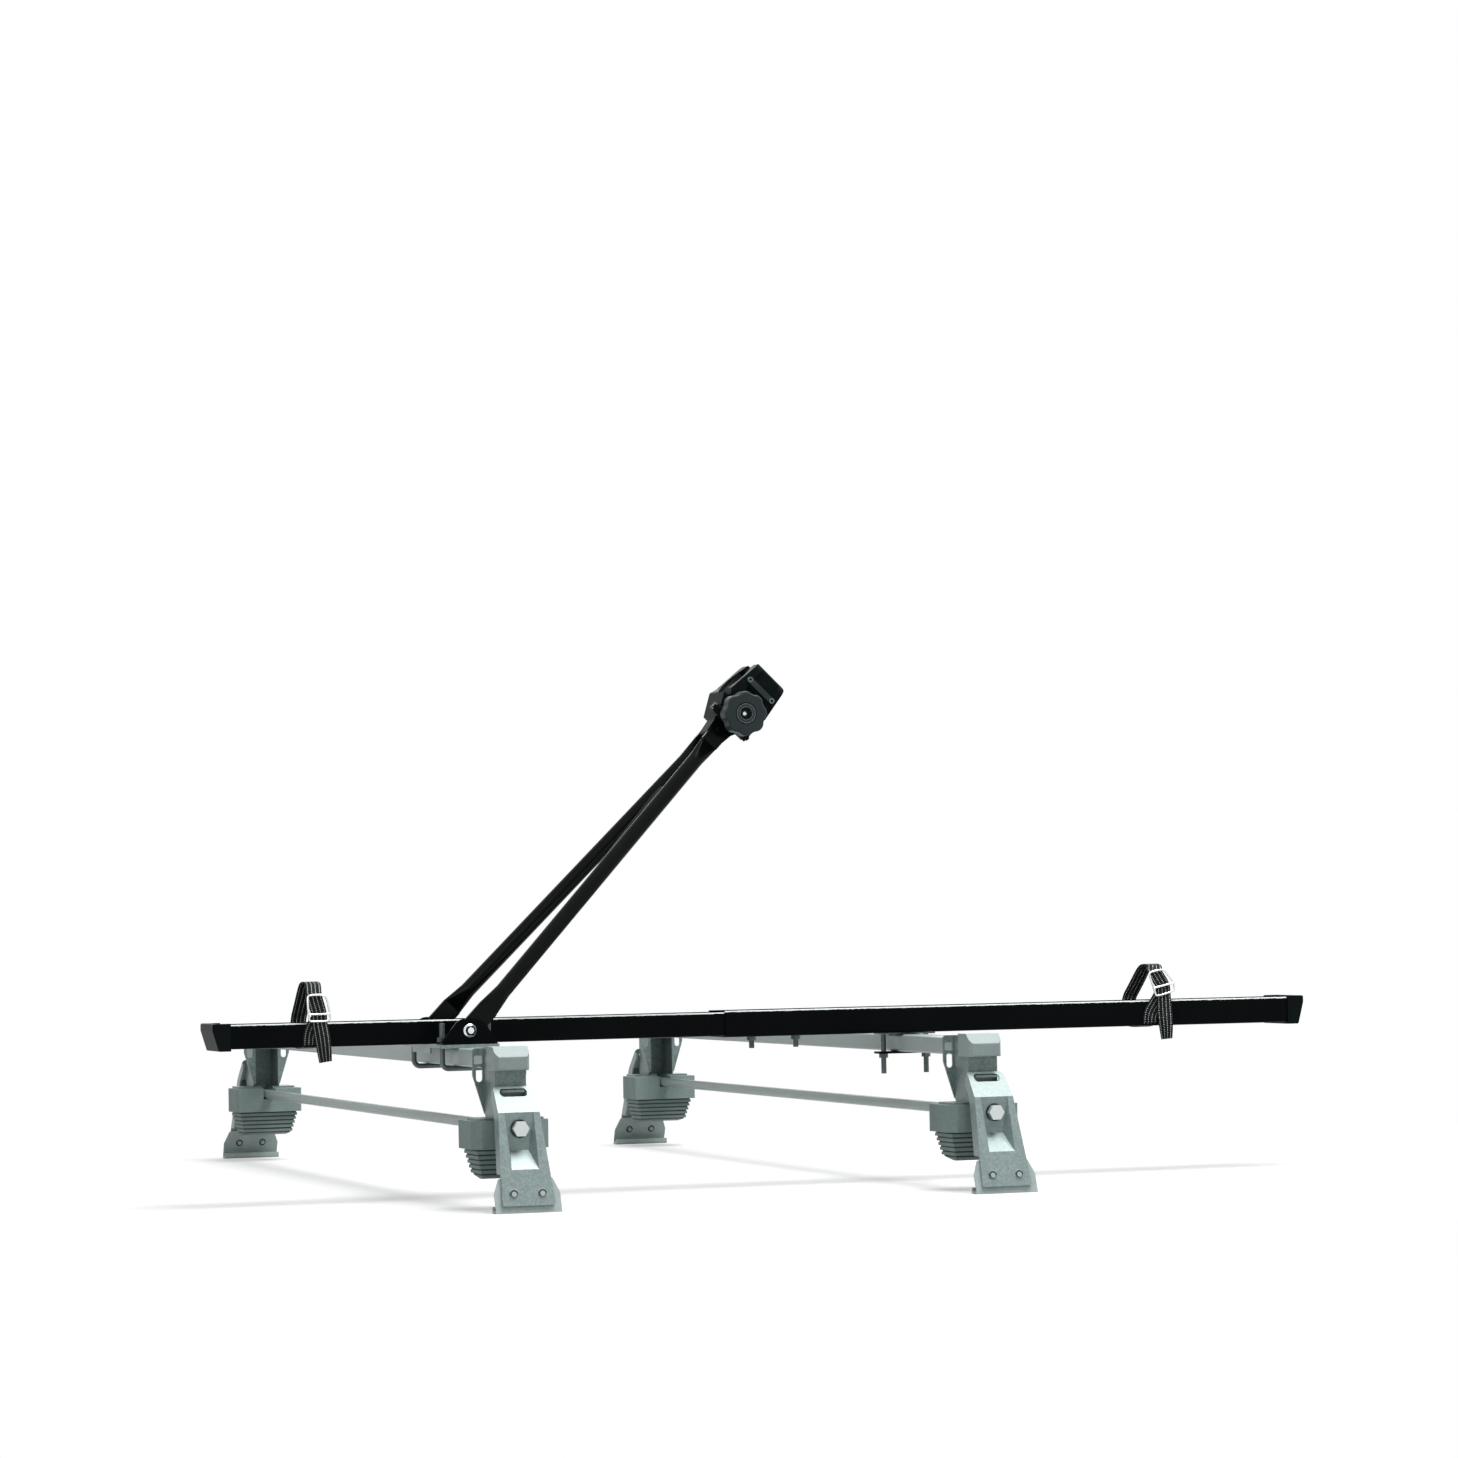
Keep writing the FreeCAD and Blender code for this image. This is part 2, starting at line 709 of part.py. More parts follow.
def tray_cap(end, width, floor_z, top_z):
    """Moulded cap over a tray's end, its face sloping back to the bottom."""
    half = width / 2.0 + fit_gap + cap_wall
    low = floor_z - fit_gap - cap_wall
    high = top_z + fit_gap + cap_wall * 0.6
    face = end * tray_length / 2.0
    back = face - end * cap_length
    side = [
        (back, low), (face - end * cap_slope, low, 2.0), (face, high - cap_brow), (face, high, 2.0),
        (back, high),
    ]
    shape = slab_xz(side, tray_y - half, tray_y + half)
    room = box(back - end, face - end * cap_wall, tray_y - half + cap_wall, tray_y + half - cap_wall,
               floor_z - fit_gap, top_z + fit_gap)
    wedge = slab_xz([
        (back - end, floor_z - fit_gap), (face - end * (cap_slope + cap_wall), floor_z - fit_gap),
        (face - end * cap_wall, high - cap_brow), (face - end * cap_wall, high + 1.0),
        (back - end, high + 1.0),
    ], tray_y - half, tray_y + half)
    mouth = box(back - end, face - end * cap_brow, tray_y - half + cap_wall + tray_rim + 1.0,
                tray_y + half - cap_wall - tray_rim - 1.0, floor_z + tray_height * 0.5, high + 1.0)
    return shape.cut(room.common(wedge)).cut(mouth)


def bolt_down(x, y, head_z, tip_z, diameter):
    """Dome-headed bolt hanging down from a floor."""
    shank = rod((x, y, head_z), (x, y, tip_z), diameter / 2.0)
    head = Part.makeCone(diameter * 0.95, diameter * 0.55, diameter * 0.45, V(x, y, head_z), V(0, 0, 1))
    return head.fuse(shank)


def build_tray():
    save("front_tray", front_tray())
    save("rear_tray", rear_tray())
    caps = [tray_cap(-1.0, front_tray_width, front_floor_z, front_rim_z),
            tray_cap(1.0, tray_width, rear_floor_z, rim_z)]
    save("tray_end_caps", *caps)
    joint = []
    for x in joint_places:
        joint.append(bolt_down(x, tray_y, front_floor_z + tray_wall, rear_floor_z - 14.0, tray_bolt))
        joint.append(nut((x, tray_y, rear_floor_z), (0, 0, -1), nut_across, nut_height,
                         tray_bolt + 2.0 * pin_gap))
    save("tray_joint_bolts", *joint)


# Saddle on the front bar

def saddle_plate():
    """Pressed plate on the front bar, its edges turned down beside the tube."""
    half_x = saddle_width / 2.0
    half_y = saddle_length / 2.0
    plan = rectangle(front_bar_x - half_x, front_bar_x + half_x, tray_y - half_y, tray_y + half_y, 5.0)
    shape = slab_xy(plan, tube_top_z, front_floor_z)
    for side in (-1.0, 1.0):
        x = front_bar_x + side * half_x
        lip = box(x, x - side * 2.5, tray_y - half_y + 45.0, tray_y + half_y - 45.0,
                  tube_top_z - saddle_lip, tube_top_z)
        shape = shape.fuse(lip)
    for x, y in u_legs():
        shape = shape.cut(rod((x, y, tube_top_z - 1), (x, y, front_floor_z + 1), u_rod / 2.0 + hole_gap))
    return shape.removeSplitter()


def u_legs():
    return [(front_bar_x + dx, tray_y + dy)
            for dx in (-u_leg_spacing / 2.0, u_leg_spacing / 2.0) for dy in (-u_offset, u_offset)]


def pivot_ear(side):
    """Black bracket bolted to the saddle, with a round-topped ear for the arm's pivot bolt."""
    outer = tray_y + side * (ear_offset + ear_thickness / 2.0)
    inner = outer - side * ear_thickness
    half = ear_base / 2.0
    top = front_floor_z + pivot_height + ear_round
    low = front_floor_z + ear_base_rise
    bend = ear_round * 0.98
    wall = [
        (front_bar_x - half, front_floor_z), (front_bar_x + half, front_floor_z),
        (front_bar_x + half, low, ear_base_rise), (front_bar_x + ear_round, top, bend),
        (front_bar_x - ear_round, top, bend), (front_bar_x - half, low, ear_base_rise),
    ]
    shape = slab_xz(wall, inner, outer)
    foot_in = outer - side * ear_foot
    plan = rectangle(front_bar_x - half, front_bar_x + half, min(foot_in, outer), max(foot_in, outer), 3.0)
    shape = shape.fuse(slab_xy(plan, front_floor_z, front_floor_z + ear_thickness))
    for x, y in u_legs():
        shape = shape.cut(rod((x, y, front_floor_z - 1), (x, y, front_floor_z + 6), u_rod / 2.0 + hole_gap))
    eye = pivot_bolt / 2.0 + pin_gap
    shape = shape.cut(rod((front_bar_x, inner - side, pivot_z), (front_bar_x, outer + side, pivot_z), eye))
    return shape.removeSplitter()


def u_bolt(y):
    """Round rod bent under the tube, its threaded legs standing up beside it."""
    half = u_leg_spacing / 2.0
    low = tube_bottom_z - u_rod / 2.0 - fit_gap
    bend = u_rod * 1.2
    top = front_floor_z + u_top_above
    right = front_bar_x + half
    left = front_bar_x - half
    slant = bend * (1.0 - math.sqrt(0.5))
    stops = [V(left, y, top), V(left, y, low + bend), V(left + bend, y, low),
             V(right - bend, y, low), V(right, y, low + bend), V(right, y, top)]
    path = Part.Wire([
        Part.LineSegment(stops[0], stops[1]).toShape(),
        Part.Arc(stops[1], V(left + slant, y, low + slant), stops[2]).toShape(),
        Part.LineSegment(stops[2], stops[3]).toShape(),
        Part.Arc(stops[3], V(right - slant, y, low + slant), stops[4]).toShape(),
        Part.LineSegment(stops[4], stops[5]).toShape(),
    ])
    circle = Part.Wire([Part.Circle(V(left, y, top), V(0, 0, 1), u_rod / 2.0).toShape()])
    return path.makePipeShell([circle], True, False)


def build_saddle():
    save("saddle_plate", saddle_plate())
    save("pivot_ears", pivot_ear(-1.0), pivot_ear(1.0))
    save("u_bolts", *[u_bolt(tray_y + dy) for dy in (-u_offset, u_offset)])
    bore = u_rod + 2.0 * pin_gap
    nuts = [nut((x, y, front_floor_z + ear_thickness), (0, 0, 1), nut_across, nut_height, bore)
            for x, y in u_legs()]
    return nuts


# Clamp on the rear bar

def build_rear_clamp():
    half_x = u_leg_spacing / 2.0 + 9.0
    half_y = strap_plate_width / 2.0
    places = [rear_bar_x - u_leg_spacing / 2.0, rear_bar_x + u_leg_spacing / 2.0]
    plan = rectangle(rear_bar_x - half_x, rear_bar_x + half_x, tray_y - half_y, tray_y + half_y, 4.0)
    low = tube_bottom_z - strap_plate_thickness
    lower = tray_holes_at(slab_xy(plan, low, tube_bottom_z), places)
    spacer = tray_holes_at(slab_xy(plan, tube_top_z, rear_floor_z), places)
    save("rear_spacer", spacer)
    save("rear_clamp_strap", lower)
    tip = tube_bottom_z - long_bolt_drop
    bolts = [bolt_down(x, tray_y, rear_floor_z + tray_wall, tip, long_bolt) for x in places]
    save("rear_clamp_bolts", *bolts)
    return [nut((x, tray_y, low), (0, 0, -1), nut_across, nut_height, long_bolt + 2.0 * pin_gap)
            for x in places]


def tray_holes_at(shape, places):
    for x in places:
        shape = shape.cut(rod((x, tray_y, 0), (x, tray_y, rim_z), long_bolt / 2.0 + hole_gap))
    return shape


# Arm: drawn upright with its pivot at the origin, then leaned back over the tray

def set_arm(shape):
    shape.rotate(V(0, 0, 0), V(0, 1, 0), 90.0 - arm_angle)
    shape.translate(V(front_bar_x, tray_y, pivot_z))
    return shape


tab_outer = ear_offset - ear_thickness / 2.0 - face_gap
tab_middle = tab_outer - leg_tab / 2.0
leg_top_y = stem_half + leg_tab / 2.0
leg_bolt_u = arm_length - leg_drop


def leg(side):
    """Arm leg: a tube whose ends are pressed flat and drilled for the bolts."""
    low = leg_flat + leg_swell
    high = leg_bolt_u - leg_top_flat - leg_swell
    start = high + leg_swell
    top = leg_bolt_u + leg_tip
    lean = (leg_top_y - tab_middle) / (start - leg_flat)

    def centre(u):
        return side * (tab_middle + lean * min(max(u - leg_flat, 0.0), start - leg_flat))

    def ring(u, width, depth):
        y = centre(u)
        return outline(rectangle(-width / 2.0, width / 2.0, y - depth / 2.0, y + depth / 2.0,
                                 min(width, depth) * 0.49), lambda p: V(p.x, p.y, u))

    tab_half = leg_tab_width / 2.0
    tip_half = tab_half - leg_tip_inset
    stations = [
        ring(leg_flat, leg_tab_width, leg_tab), ring(low, leg_diameter, leg_diameter),
        ring(high, leg_diameter, leg_diameter), ring(start, 2.0 * tip_half, leg_tab),
    ]
    shape = Part.makeLoft(stations[1:3], True, True)
    for pair in (stations[:2], stations[2:]):
        shape = shape.fuse(Part.makeLoft(pair, True, True))
    bend = tab_half * 0.98
    tab = [(-tab_half, -tab_half, bend), (tab_half, -tab_half, bend), (tab_half, leg_flat),
           (-tab_half, leg_flat)]
    y0 = side * tab_middle - leg_tab / 2.0
    tab = slab_xz(tab, y0, y0 + leg_tab)
    bend = tip_half * 0.9
    tip = [(-tip_half, start), (tip_half, start), (tip_half, top, bend), (-tip_half, top, bend)]
    y1 = side * leg_top_y - leg_tab / 2.0
    tip = slab_xz(tip, y1, y1 + leg_tab)
    shape = shape.fuse(tab).fuse(tip)
    eye = pivot_bolt / 2.0 + pin_gap
    shape = shape.cut(rod((0, -ear_offset, 0), (0, ear_offset, 0), eye))
    shape = shape.cut(rod((0, -ear_offset, leg_bolt_u), (0, ear_offset, leg_bolt_u),
                          head_bolt / 2.0 + fit_gap))
    bore = leg_diameter / 2.0 - leg_wall
    shape = shape.cut(rod((0, centre(low), low), (0, centre(high), high), bore))
    return shape.removeSplitter()


def brace(legs):
    """Thin rod crossing from the near leg's foot to the far leg's top."""
    low = leg_flat + leg_swell + brace_start
    high = leg_bolt_u - leg_top_flat - leg_swell - brace_end
    span = leg_bolt_u - leg_top_flat - leg_flat

    def leg_y(u):
        return tab_middle + (leg_top_y - tab_middle) * (u - leg_flat) / span

    shape = rod((0, -leg_y(low), low), (0, leg_y(high), high), brace_diameter / 2.0)
    for solid in legs:
        shape = shape.cut(solid)
    return max(shape.Solids, key=lambda solid: solid.Volume)


def build_arm():
    legs = [leg(-1.0), leg(1.0)]
    rod_piece = brace(legs)
    save("near_leg", set_arm(legs[0].copy()))
    save("far_leg", set_arm(legs[1].copy()))
    save("arm_brace_rod", set_arm(rod_piece))
    outer = ear_offset + ear_thickness / 2.0
    pivots = []
    for side in (-1.0, 1.0):
        y = tray_y + side * outer
        inner = tray_y + side * (tab_middle - leg_tab / 2.0 - 0.5)
        shank = rod((front_bar_x, y, pivot_z), (front_bar_x, inner, pivot_z), pivot_bolt / 2.0)
        head = Part.makeCone(pivot_bolt * 0.95, pivot_bolt * 0.5, pivot_bolt * 0.5,
                             V(front_bar_x, y, pivot_z), V(0, side, 0))
        end = rod((front_bar_x, inner, pivot_z), (front_bar_x, inner - side * pivot_collar, pivot_z),
                  pivot_bolt * 0.8)
        pivots.append(shank.fuse(head).fuse(end))
    save("pivot_bolts", *pivots)
    side_y = stem_half + leg_tab
    through = rod((0, -side_y, leg_bolt_u), (0, side_y, leg_bolt_u), head_bolt / 2.0)
    for side in (-1.0, 1.0):
        through = through.fuse(Part.makeCone(head_bolt * 0.85, head_bolt * 0.6, head_bolt * 0.5,
                                             V(0, side * side_y, leg_bolt_u), V(0, side, 0)))
    save("arm_head_bolt", set_arm(through))


# Frame clamp: drawn with the knob's spindle through the origin, then set on the arm

def set_head(shape):
    shape.translate(V(0, 0, arm_length))
    return set_arm(shape)


jaw_top = grip_height + grip_diameter / 2.0 + jaw_wall


def grip(radius):
    """Round bar along the gripped tube."""
    return rod((-jaw_base_length, 0, grip_height), (jaw_base_length, 0, grip_height), radius)


shell_low = 9.5
link_high = grip_height + 4.0


def jaw_shell(side, low):
    """Half of the clamp's shell round the gripped tube."""
    inner = side * jaw_part
    outer = side * jaw_half_depth
    lip = side * jaw_opening
    under_lip = jaw_top - jaw_wall - 3.0
    section = [
        (inner, low), (outer, low, 3.0), (outer, jaw_top, jaw_round), (lip, jaw_top, 2.0),
        (lip, under_lip), (inner, under_lip),
    ]
    return slab_yz(section, -jaw_base_length, jaw_base_length).cut(grip(grip_diameter / 2.0 + grip_pad))


def fixed_jaw():
    """Far half of the clamp with the base under the tube and the stem between the legs."""
    half = jaw_length / 2.0
    wide = jaw_base_length / 2.0
    deep = jaw_base_length
    stem_top = stem_top_width / 2.0
    stem_low = stem_low_width / 2.0
    near_face = lug_inner_y + face_gap + 0.5
    base = box(-deep, deep, near_face, jaw_half_depth, jaw_base_step, shell_low - face_gap)
    base = base.fuse(box(-deep, deep, jaw_base_near_y, jaw_half_depth, jaw_base_low, jaw_base_step))
    stem = box(-deep, deep, -stem_half, stem_half, -stem_end, jaw_base_low)
    shape = jaw_shell(1.0, shell_low - 2.0).fuse(base).fuse(stem)
    front = [
        (-half, jaw_top, 4.0), (half, jaw_top, jaw_corner), (wide - 1.0, 17.0, jaw_corner),
        (wide - 3.0, 4.0, jaw_corner), (stem_top, -20.0, jaw_corner), (stem_low, -stem_end, 4.0),
        (-stem_low, -stem_end, 4.0), (-stem_top, -20.0, jaw_corner), (-wide, 10.0, 4.0),
        (3.0 - wide, 19.0, 4.0),
    ]
    shape = shape.common(slab_xz(front, -deep, deep))
    low = hinge_u - 2.0
    for side in (-1.0, 1.0):
        inner = side * knuckle_inner
        outer = side * knuckle_outer
        knuckle = rod((inner, hinge_y, hinge_u), (outer, hinge_y, hinge_u), hinge_barrel / 2.0)
        web = box(inner, outer, hinge_y, -10.0, low, hinge_u + hinge_barrel / 2.0)
        bridge = box(side * stem_top, outer, jaw_base_near_y + 0.1, -8.0, low, hinge_u + lug_thickness)
        shape = shape.fuse(knuckle).fuse(web).fuse(bridge)
    shape = shape.cut(grip(grip_diameter / 2.0 + grip_pad))
    shape = shape.cut(rod((0, -deep, 0), (0, spindle_bore_y, 0), spindle_diameter / 2.0 + fit_gap))
    shape = shape.cut(hinge_bore())
    shape = shape.cut(rod((0, -deep, -leg_drop), (0, deep, -leg_drop), head_bolt / 2.0 + fit_gap))
    return shape.removeSplitter()


def hinge_bore():
    """Round bar the size of the hinge pin's bore."""
    return rod((-jaw_base_length, hinge_y, hinge_u), (jaw_base_length, hinge_y, hinge_u),
               hinge_pin / 2.0 + pin_gap)


def moving_jaw():
    """Near half of the clamp, hinged at its lower edge and pressed home by the knob."""
    half = jaw_length / 2.0
    flare = half + 6.0
    lug = box(-lug_half, lug_half, lug_inner_y - lug_thickness, lug_inner_y, hinge_u, lug_top)
    barrel = rod((-lug_half, hinge_y, hinge_u), (lug_half, hinge_y, hinge_u), hinge_barrel / 2.0)
    front = [
        (-half, jaw_top, 4.0), (half, jaw_top, jaw_corner), (flare, 17.0, jaw_corner),
        (lug_half, 5.0, 3.0), (lug_half, -20.0), (-lug_half, -20.0), (-lug_half, 5.0, 3.0),
        (-flare, 17.0, jaw_corner),
    ]
    shape = jaw_shell(-1.0, shell_low).fuse(lug).fuse(barrel)
    shape = shape.common(slab_xz(front, -jaw_base_length, 0.0))
    room = spindle_diameter / 2.0 + hole_gap
    slot = rectangle(-room, room, spindle_slot_low, spindle_slot_high, room - 0.1)
    shape = shape.cut(slab_xz(slot, -jaw_base_length, -stem_half))
    panel = half - panel_inset
    shape = shape.cut(box(-panel, panel, -jaw_half_depth - 1.0, -jaw_half_depth + panel_depth,
                          link_high + link_width, jaw_top + 1.0))
    lower = rectangle(-panel, panel, link_high - link_width - panel_height, link_high - link_width, 2.0)
    shape = shape.cut(slab_xz(lower, -jaw_half_depth - 1.0, -jaw_half_depth + panel_depth))
    return shape.cut(hinge_bore())


def grip_liner(side):
    """Rubber liner inside a jaw, where it holds the tube."""
    half = jaw_length / 2.0
    ring = grip(grip_diameter / 2.0 + grip_pad).cut(grip(grip_diameter / 2.0))
    outer = side * jaw_half_depth
    keep = box(-half, half, side * (jaw_part + 1.5), outer, 0.0, grip_height + 14.0)
    return ring.common(keep)


def link():
    """Steel strip on the moving jaw's face, held by two tubular rivets."""
    half = link_spacing / 2.0 + link_width / 2.0
    y = -jaw_half_depth
    shape = slab_xz(rectangle(-half, half, link_high - link_width / 2.0, link_high + link_width / 2.0,
                              link_width * 0.48), y - link_thickness, y)
    front = y - link_thickness
    for side in (-1.0, 1.0):
        x = side * link_spacing / 2.0
        shape = shape.fuse(rod((x, front - link_collar, link_high), (x, y, link_high), link_rivet))
        shape = shape.cut(rod((x, front - link_collar - 1.0, link_high), (x, front + 1.0, link_high),
                              link_rivet / 2.0))
    return shape


def knob_outline(y):
    """Closed wire of shallow round lobes, at a place along the spindle."""
    outer = knob_diameter / 2.0
    pitch = 2.0 * math.pi / knob_lobes

    def spot(radius, angle):
        return V(radius * math.cos(angle), y, radius * math.sin(angle))

    edges = []
    for i in range(knob_lobes):
        angle = pitch * i
        side = outer - knob_lobe_depth * 0.45
        first = spot(side, angle - pitch * 0.28)
        last = spot(side, angle + pitch * 0.28)
        following = spot(side, angle + pitch * 0.72)
        edges.append(Part.Arc(first, spot(outer, angle), last).toShape())
        dip = spot(outer - knob_lobe_depth, angle + pitch * 0.5)
        edges.append(Part.Arc(last, dip, following).toShape())
    return Part.Wire(edges)


def knob():
    """Lobed knob with a boss, a ring groove and a hexagonal recess in its face, and its spindle."""
    start = lug_inner_y - lug_thickness - washer_thickness
    disc_start = start - knob_boss
    face = disc_start - knob_disc
    disc = Part.Face(knob_outline(disc_start)).extrude(V(0, -knob_disc, 0))
    rims = [edge for edge in disc.Edges if max(abs(v.Point.y - face) for v in edge.Vertexes) < fit_gap]
    shape = disc.makeChamfer(knob_bevel, rims)
    shape = shape.fuse(rod((0, start, 0), (0, disc_start, 0), knob_boss_diameter / 2.0))
    ring_floor = face + knob_ring_depth
    groove = rod((0, face - 1.0, 0), (0, ring_floor, 0), knob_ring / 2.0)
    groove = groove.cut(rod((0, face - 1.0, 0), (0, ring_floor, 0), knob_ring / 2.0 - knob_ring_width))
    shape = shape.cut(groove)
    shape = shape.cut(hexagon((0, face - 1.0, 0), (0, 1, 0), recess_across, recess_depth + 1.0))
    floor = face + recess_depth
    shape = shape.cut(rod((0, floor - 1.0, 0), (0, floor + lock_depth, 0), lock_diameter / 2.0 + pin_gap))
    spindle = rod((0, start, 0), (0, spindle_inner_y, 0), spindle_diameter / 2.0)
    return shape.fuse(spindle).removeSplitter(), floor


def build_head():
    save("fixed_jaw", set_head(fixed_jaw()))
    save("moving_jaw", set_head(moving_jaw()))
    save("fixed_jaw_liner", set_head(grip_liner(1.0)))
    save("moving_jaw_liner", set_head(grip_liner(-1.0)))
    pin = rod((-pin_half, hinge_y, hinge_u), (pin_half, hinge_y, hinge_u), hinge_pin / 2.0)
    save("jaw_hinge_pin", set_head(pin))
    save("jaw_link", set_head(link()))
    start = lug_inner_y - lug_thickness
    end = start - washer_thickness
    washer = rod((0, start, 0), (0, end, 0), knob_washer_diameter / 2.0)
    washer = washer.cut(rod((0, start, 0), (0, end, 0), spindle_diameter / 2.0 + fit_gap))
    save("knob_washer", set_head(washer))
    shape, floor = knob()
    save("knob", set_head(shape))
    front = floor - lock_proud
    lock = rod((0, front, 0), (0, floor + lock_depth, 0), lock_diameter / 2.0)
    slit = key_slit / 2.0
    lock = lock.cut(box(-slit, slit, front - 1.0, front + key_slit_depth, -lock_diameter / 3.0,
                        lock_diameter / 3.0))
    save("lock_cylinder", set_head(lock))


# Wheel straps

def strap(x, width, floor_z, bar, rise):
    """Webbing loop under the tray, up both sides and over the wheel's rim, with its tail outside."""
    half = strap_width / 2.0
    side = width / 2.0
    top = rim_z + strap_rise
    shoulder = top - strap_shoulder
    loop = [
        (-side, floor_z, 2.0), (side, floor_z, 2.0), (side, rim_z, strap_bend),
        (strap_crown, shoulder, strap_bend), (strap_crown * 0.5, top, 8.0), (-strap_crown * 0.5, top, 8.0),
        (-strap_crown, shoulder, strap_bend), (-side, rim_z, strap_bend),
    ]
    inner = outline(loop, lambda p: V(x - half, tray_y + p.x, p.y))
    outer = inner.makeOffset2D(strap_thickness)
    across = V(strap_width, 0, 0)
    band = Part.Face(outer).extrude(across).cut(Part.Face(inner).extrude(across))
    out = tray_y - side - strap_thickness
    knee = rim_z + bar
    tail = slab_yz([
        (out, floor_z - strap_tail), (out, knee, 8.0), (out + buckle_lean, knee + rise),
        (out + buckle_lean - strap_thickness, knee + rise), (out - strap_thickness, knee, 8.0),
        (out - strap_thickness, floor_z - strap_tail),
    ], x - half, x + half)
    return band.fuse(tail).removeSplitter()


def buckle(x, width, bar, rise):
    """Wire ladder buckle on the strap's near side: a long loop with one bar across it."""
    wire = buckle_wire / 2.0
    half = strap_width / 2.0 + buckle_wire
    y = tray_y - width / 2.0 - strap_thickness * 2.0 - wire
    middle = rim_z + bar
    low = middle - buckle_below
    high = middle + rise
    corners = [(x - half, y, low), (x + half, y, low), (x + half, y, middle),
               (x + half, y + buckle_lean, high), (x - half, y + buckle_lean, high), (x - half, y, middle)]
    frame = rod(corners[2], corners[5], wire)
    for corner, following in zip(corners, corners[1:] + corners[:1]):
        frame = frame.fuse(rod(corner, following, wire)).fuse(Part.makeSphere(wire, V(*corner)))
    return frame


def build_straps():
    halves = ((front_tray_width, front_floor_z), (tray_width, rear_floor_z))
    buckles = []
    for (name, x, bar, rise), (width, floor_z) in zip(strap_places, halves):
        save(name + "_strap", strap(x, width, floor_z, bar, rise))
        buckles.append(buckle(x, width, bar, rise))
    save("strap_buckles", *buckles)


build_tray()
save("clamp_nuts", *(build_saddle() + build_rear_clamp()))
build_arm()
build_head()
build_straps()
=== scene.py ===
# %% [markdown]
# # A roof rack with an upright carrier
#
# Two steel crossbars clamp over a roof's edges, and a carrier is bolted across them. Every hard piece
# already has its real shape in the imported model, so this lesson does three things: it sets the
# photograph's camera and a plain studio, it gives every piece a finish built from nodes, and it models
# the pieces that plain solids can't show well, such as ribbed webbing, wire buckles and rolled threads.

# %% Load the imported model
import json
import math

import bmesh
import bpy
from mathutils import Matrix, Vector


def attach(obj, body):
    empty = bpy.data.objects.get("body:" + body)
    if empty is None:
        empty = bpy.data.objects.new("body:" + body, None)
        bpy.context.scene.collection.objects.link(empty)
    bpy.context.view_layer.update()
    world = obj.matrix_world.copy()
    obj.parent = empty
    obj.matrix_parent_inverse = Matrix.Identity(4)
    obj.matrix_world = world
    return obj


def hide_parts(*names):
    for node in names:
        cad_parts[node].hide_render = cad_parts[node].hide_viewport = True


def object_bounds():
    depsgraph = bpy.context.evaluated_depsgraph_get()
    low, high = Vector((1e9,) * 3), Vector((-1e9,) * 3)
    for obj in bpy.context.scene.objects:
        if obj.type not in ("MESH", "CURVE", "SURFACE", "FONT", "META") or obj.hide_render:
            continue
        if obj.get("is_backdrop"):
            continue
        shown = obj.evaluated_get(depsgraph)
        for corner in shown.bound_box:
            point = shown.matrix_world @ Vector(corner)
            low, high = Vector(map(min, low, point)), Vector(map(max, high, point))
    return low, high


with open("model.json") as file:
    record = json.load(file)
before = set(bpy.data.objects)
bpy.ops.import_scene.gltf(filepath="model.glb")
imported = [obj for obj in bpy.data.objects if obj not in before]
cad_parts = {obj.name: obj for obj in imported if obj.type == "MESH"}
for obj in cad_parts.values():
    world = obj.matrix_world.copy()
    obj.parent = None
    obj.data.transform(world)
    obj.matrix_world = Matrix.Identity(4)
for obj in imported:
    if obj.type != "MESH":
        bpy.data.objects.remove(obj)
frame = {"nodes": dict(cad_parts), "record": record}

nodes = frame["nodes"]
cad_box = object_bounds()
print("pieces in the packed model:", len(nodes))

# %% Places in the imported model, in metres
bar_x = {"front": -0.392, "rear": 0.165}
tray_y = -0.355
tray_half = {"front": 0.02835, "rear": 0.030}
tray_top = {"front": 0.20335, "rear": 0.205}
pivot_z = 0.1915
knob_axis = (-0.046755, 0.549012)
link_rivets = ((-0.03259, 0.58959), (-0.0067, 0.56458))
foot_rivet_aside = 0.016
foot_rivet_z = 0.0205
pad_groove_top = 0.066
pad_groove_pitch = 0.032 / 6.0

# %% [markdown]
# ## The camera
#
# The photograph was taken from low down, about five metres away, with a long lens: the far feet look
# only a little smaller than the near ones. The lens and the place were solved from the tray's ends, the
# clamp bolts and the pads, all of known size, so the same numbers frame the model as the photograph does.
# The camera's axes are worked out from three angles, which keeps the numbers readable.

# %% Camera
camera_place = Vector((-1.731024, -5.080639, 0.308628))
camera_yaw = math.radians(19.598)
camera_pitch = math.radians(-2.567)
camera_roll = math.radians(1.032)
focal_pixels = 4290.055
photo_pixels = 1458.0
sensor_mm = 36.0

ahead = Vector((math.sin(camera_yaw) * math.cos(camera_pitch),
                math.cos(camera_yaw) * math.cos(camera_pitch), -math.sin(camera_pitch)))
level_right = Vector((math.cos(camera_yaw), -math.sin(camera_yaw), 0.0))
level_up = level_right.cross(ahead)
right = math.cos(camera_roll) * level_right - math.sin(camera_roll) * level_up
up = math.sin(camera_roll) * level_right + math.cos(camera_roll) * level_up

camera_data = bpy.data.cameras.new("photo_camera")
camera_data.sensor_width = sensor_mm
camera_data.lens = focal_pixels / photo_pixels * sensor_mm
camera_data.clip_end = 60.0
camera = bpy.data.objects.new("photo_camera", camera_data)
bpy.context.scene.collection.objects.link(camera)
camera.matrix_world = Matrix.Translation(camera_place) @ Matrix((right, up, -ahead)).transposed().to_4x4()
bpy.context.scene.camera = camera
print("lens in mm:", round(camera_data.lens, 1))

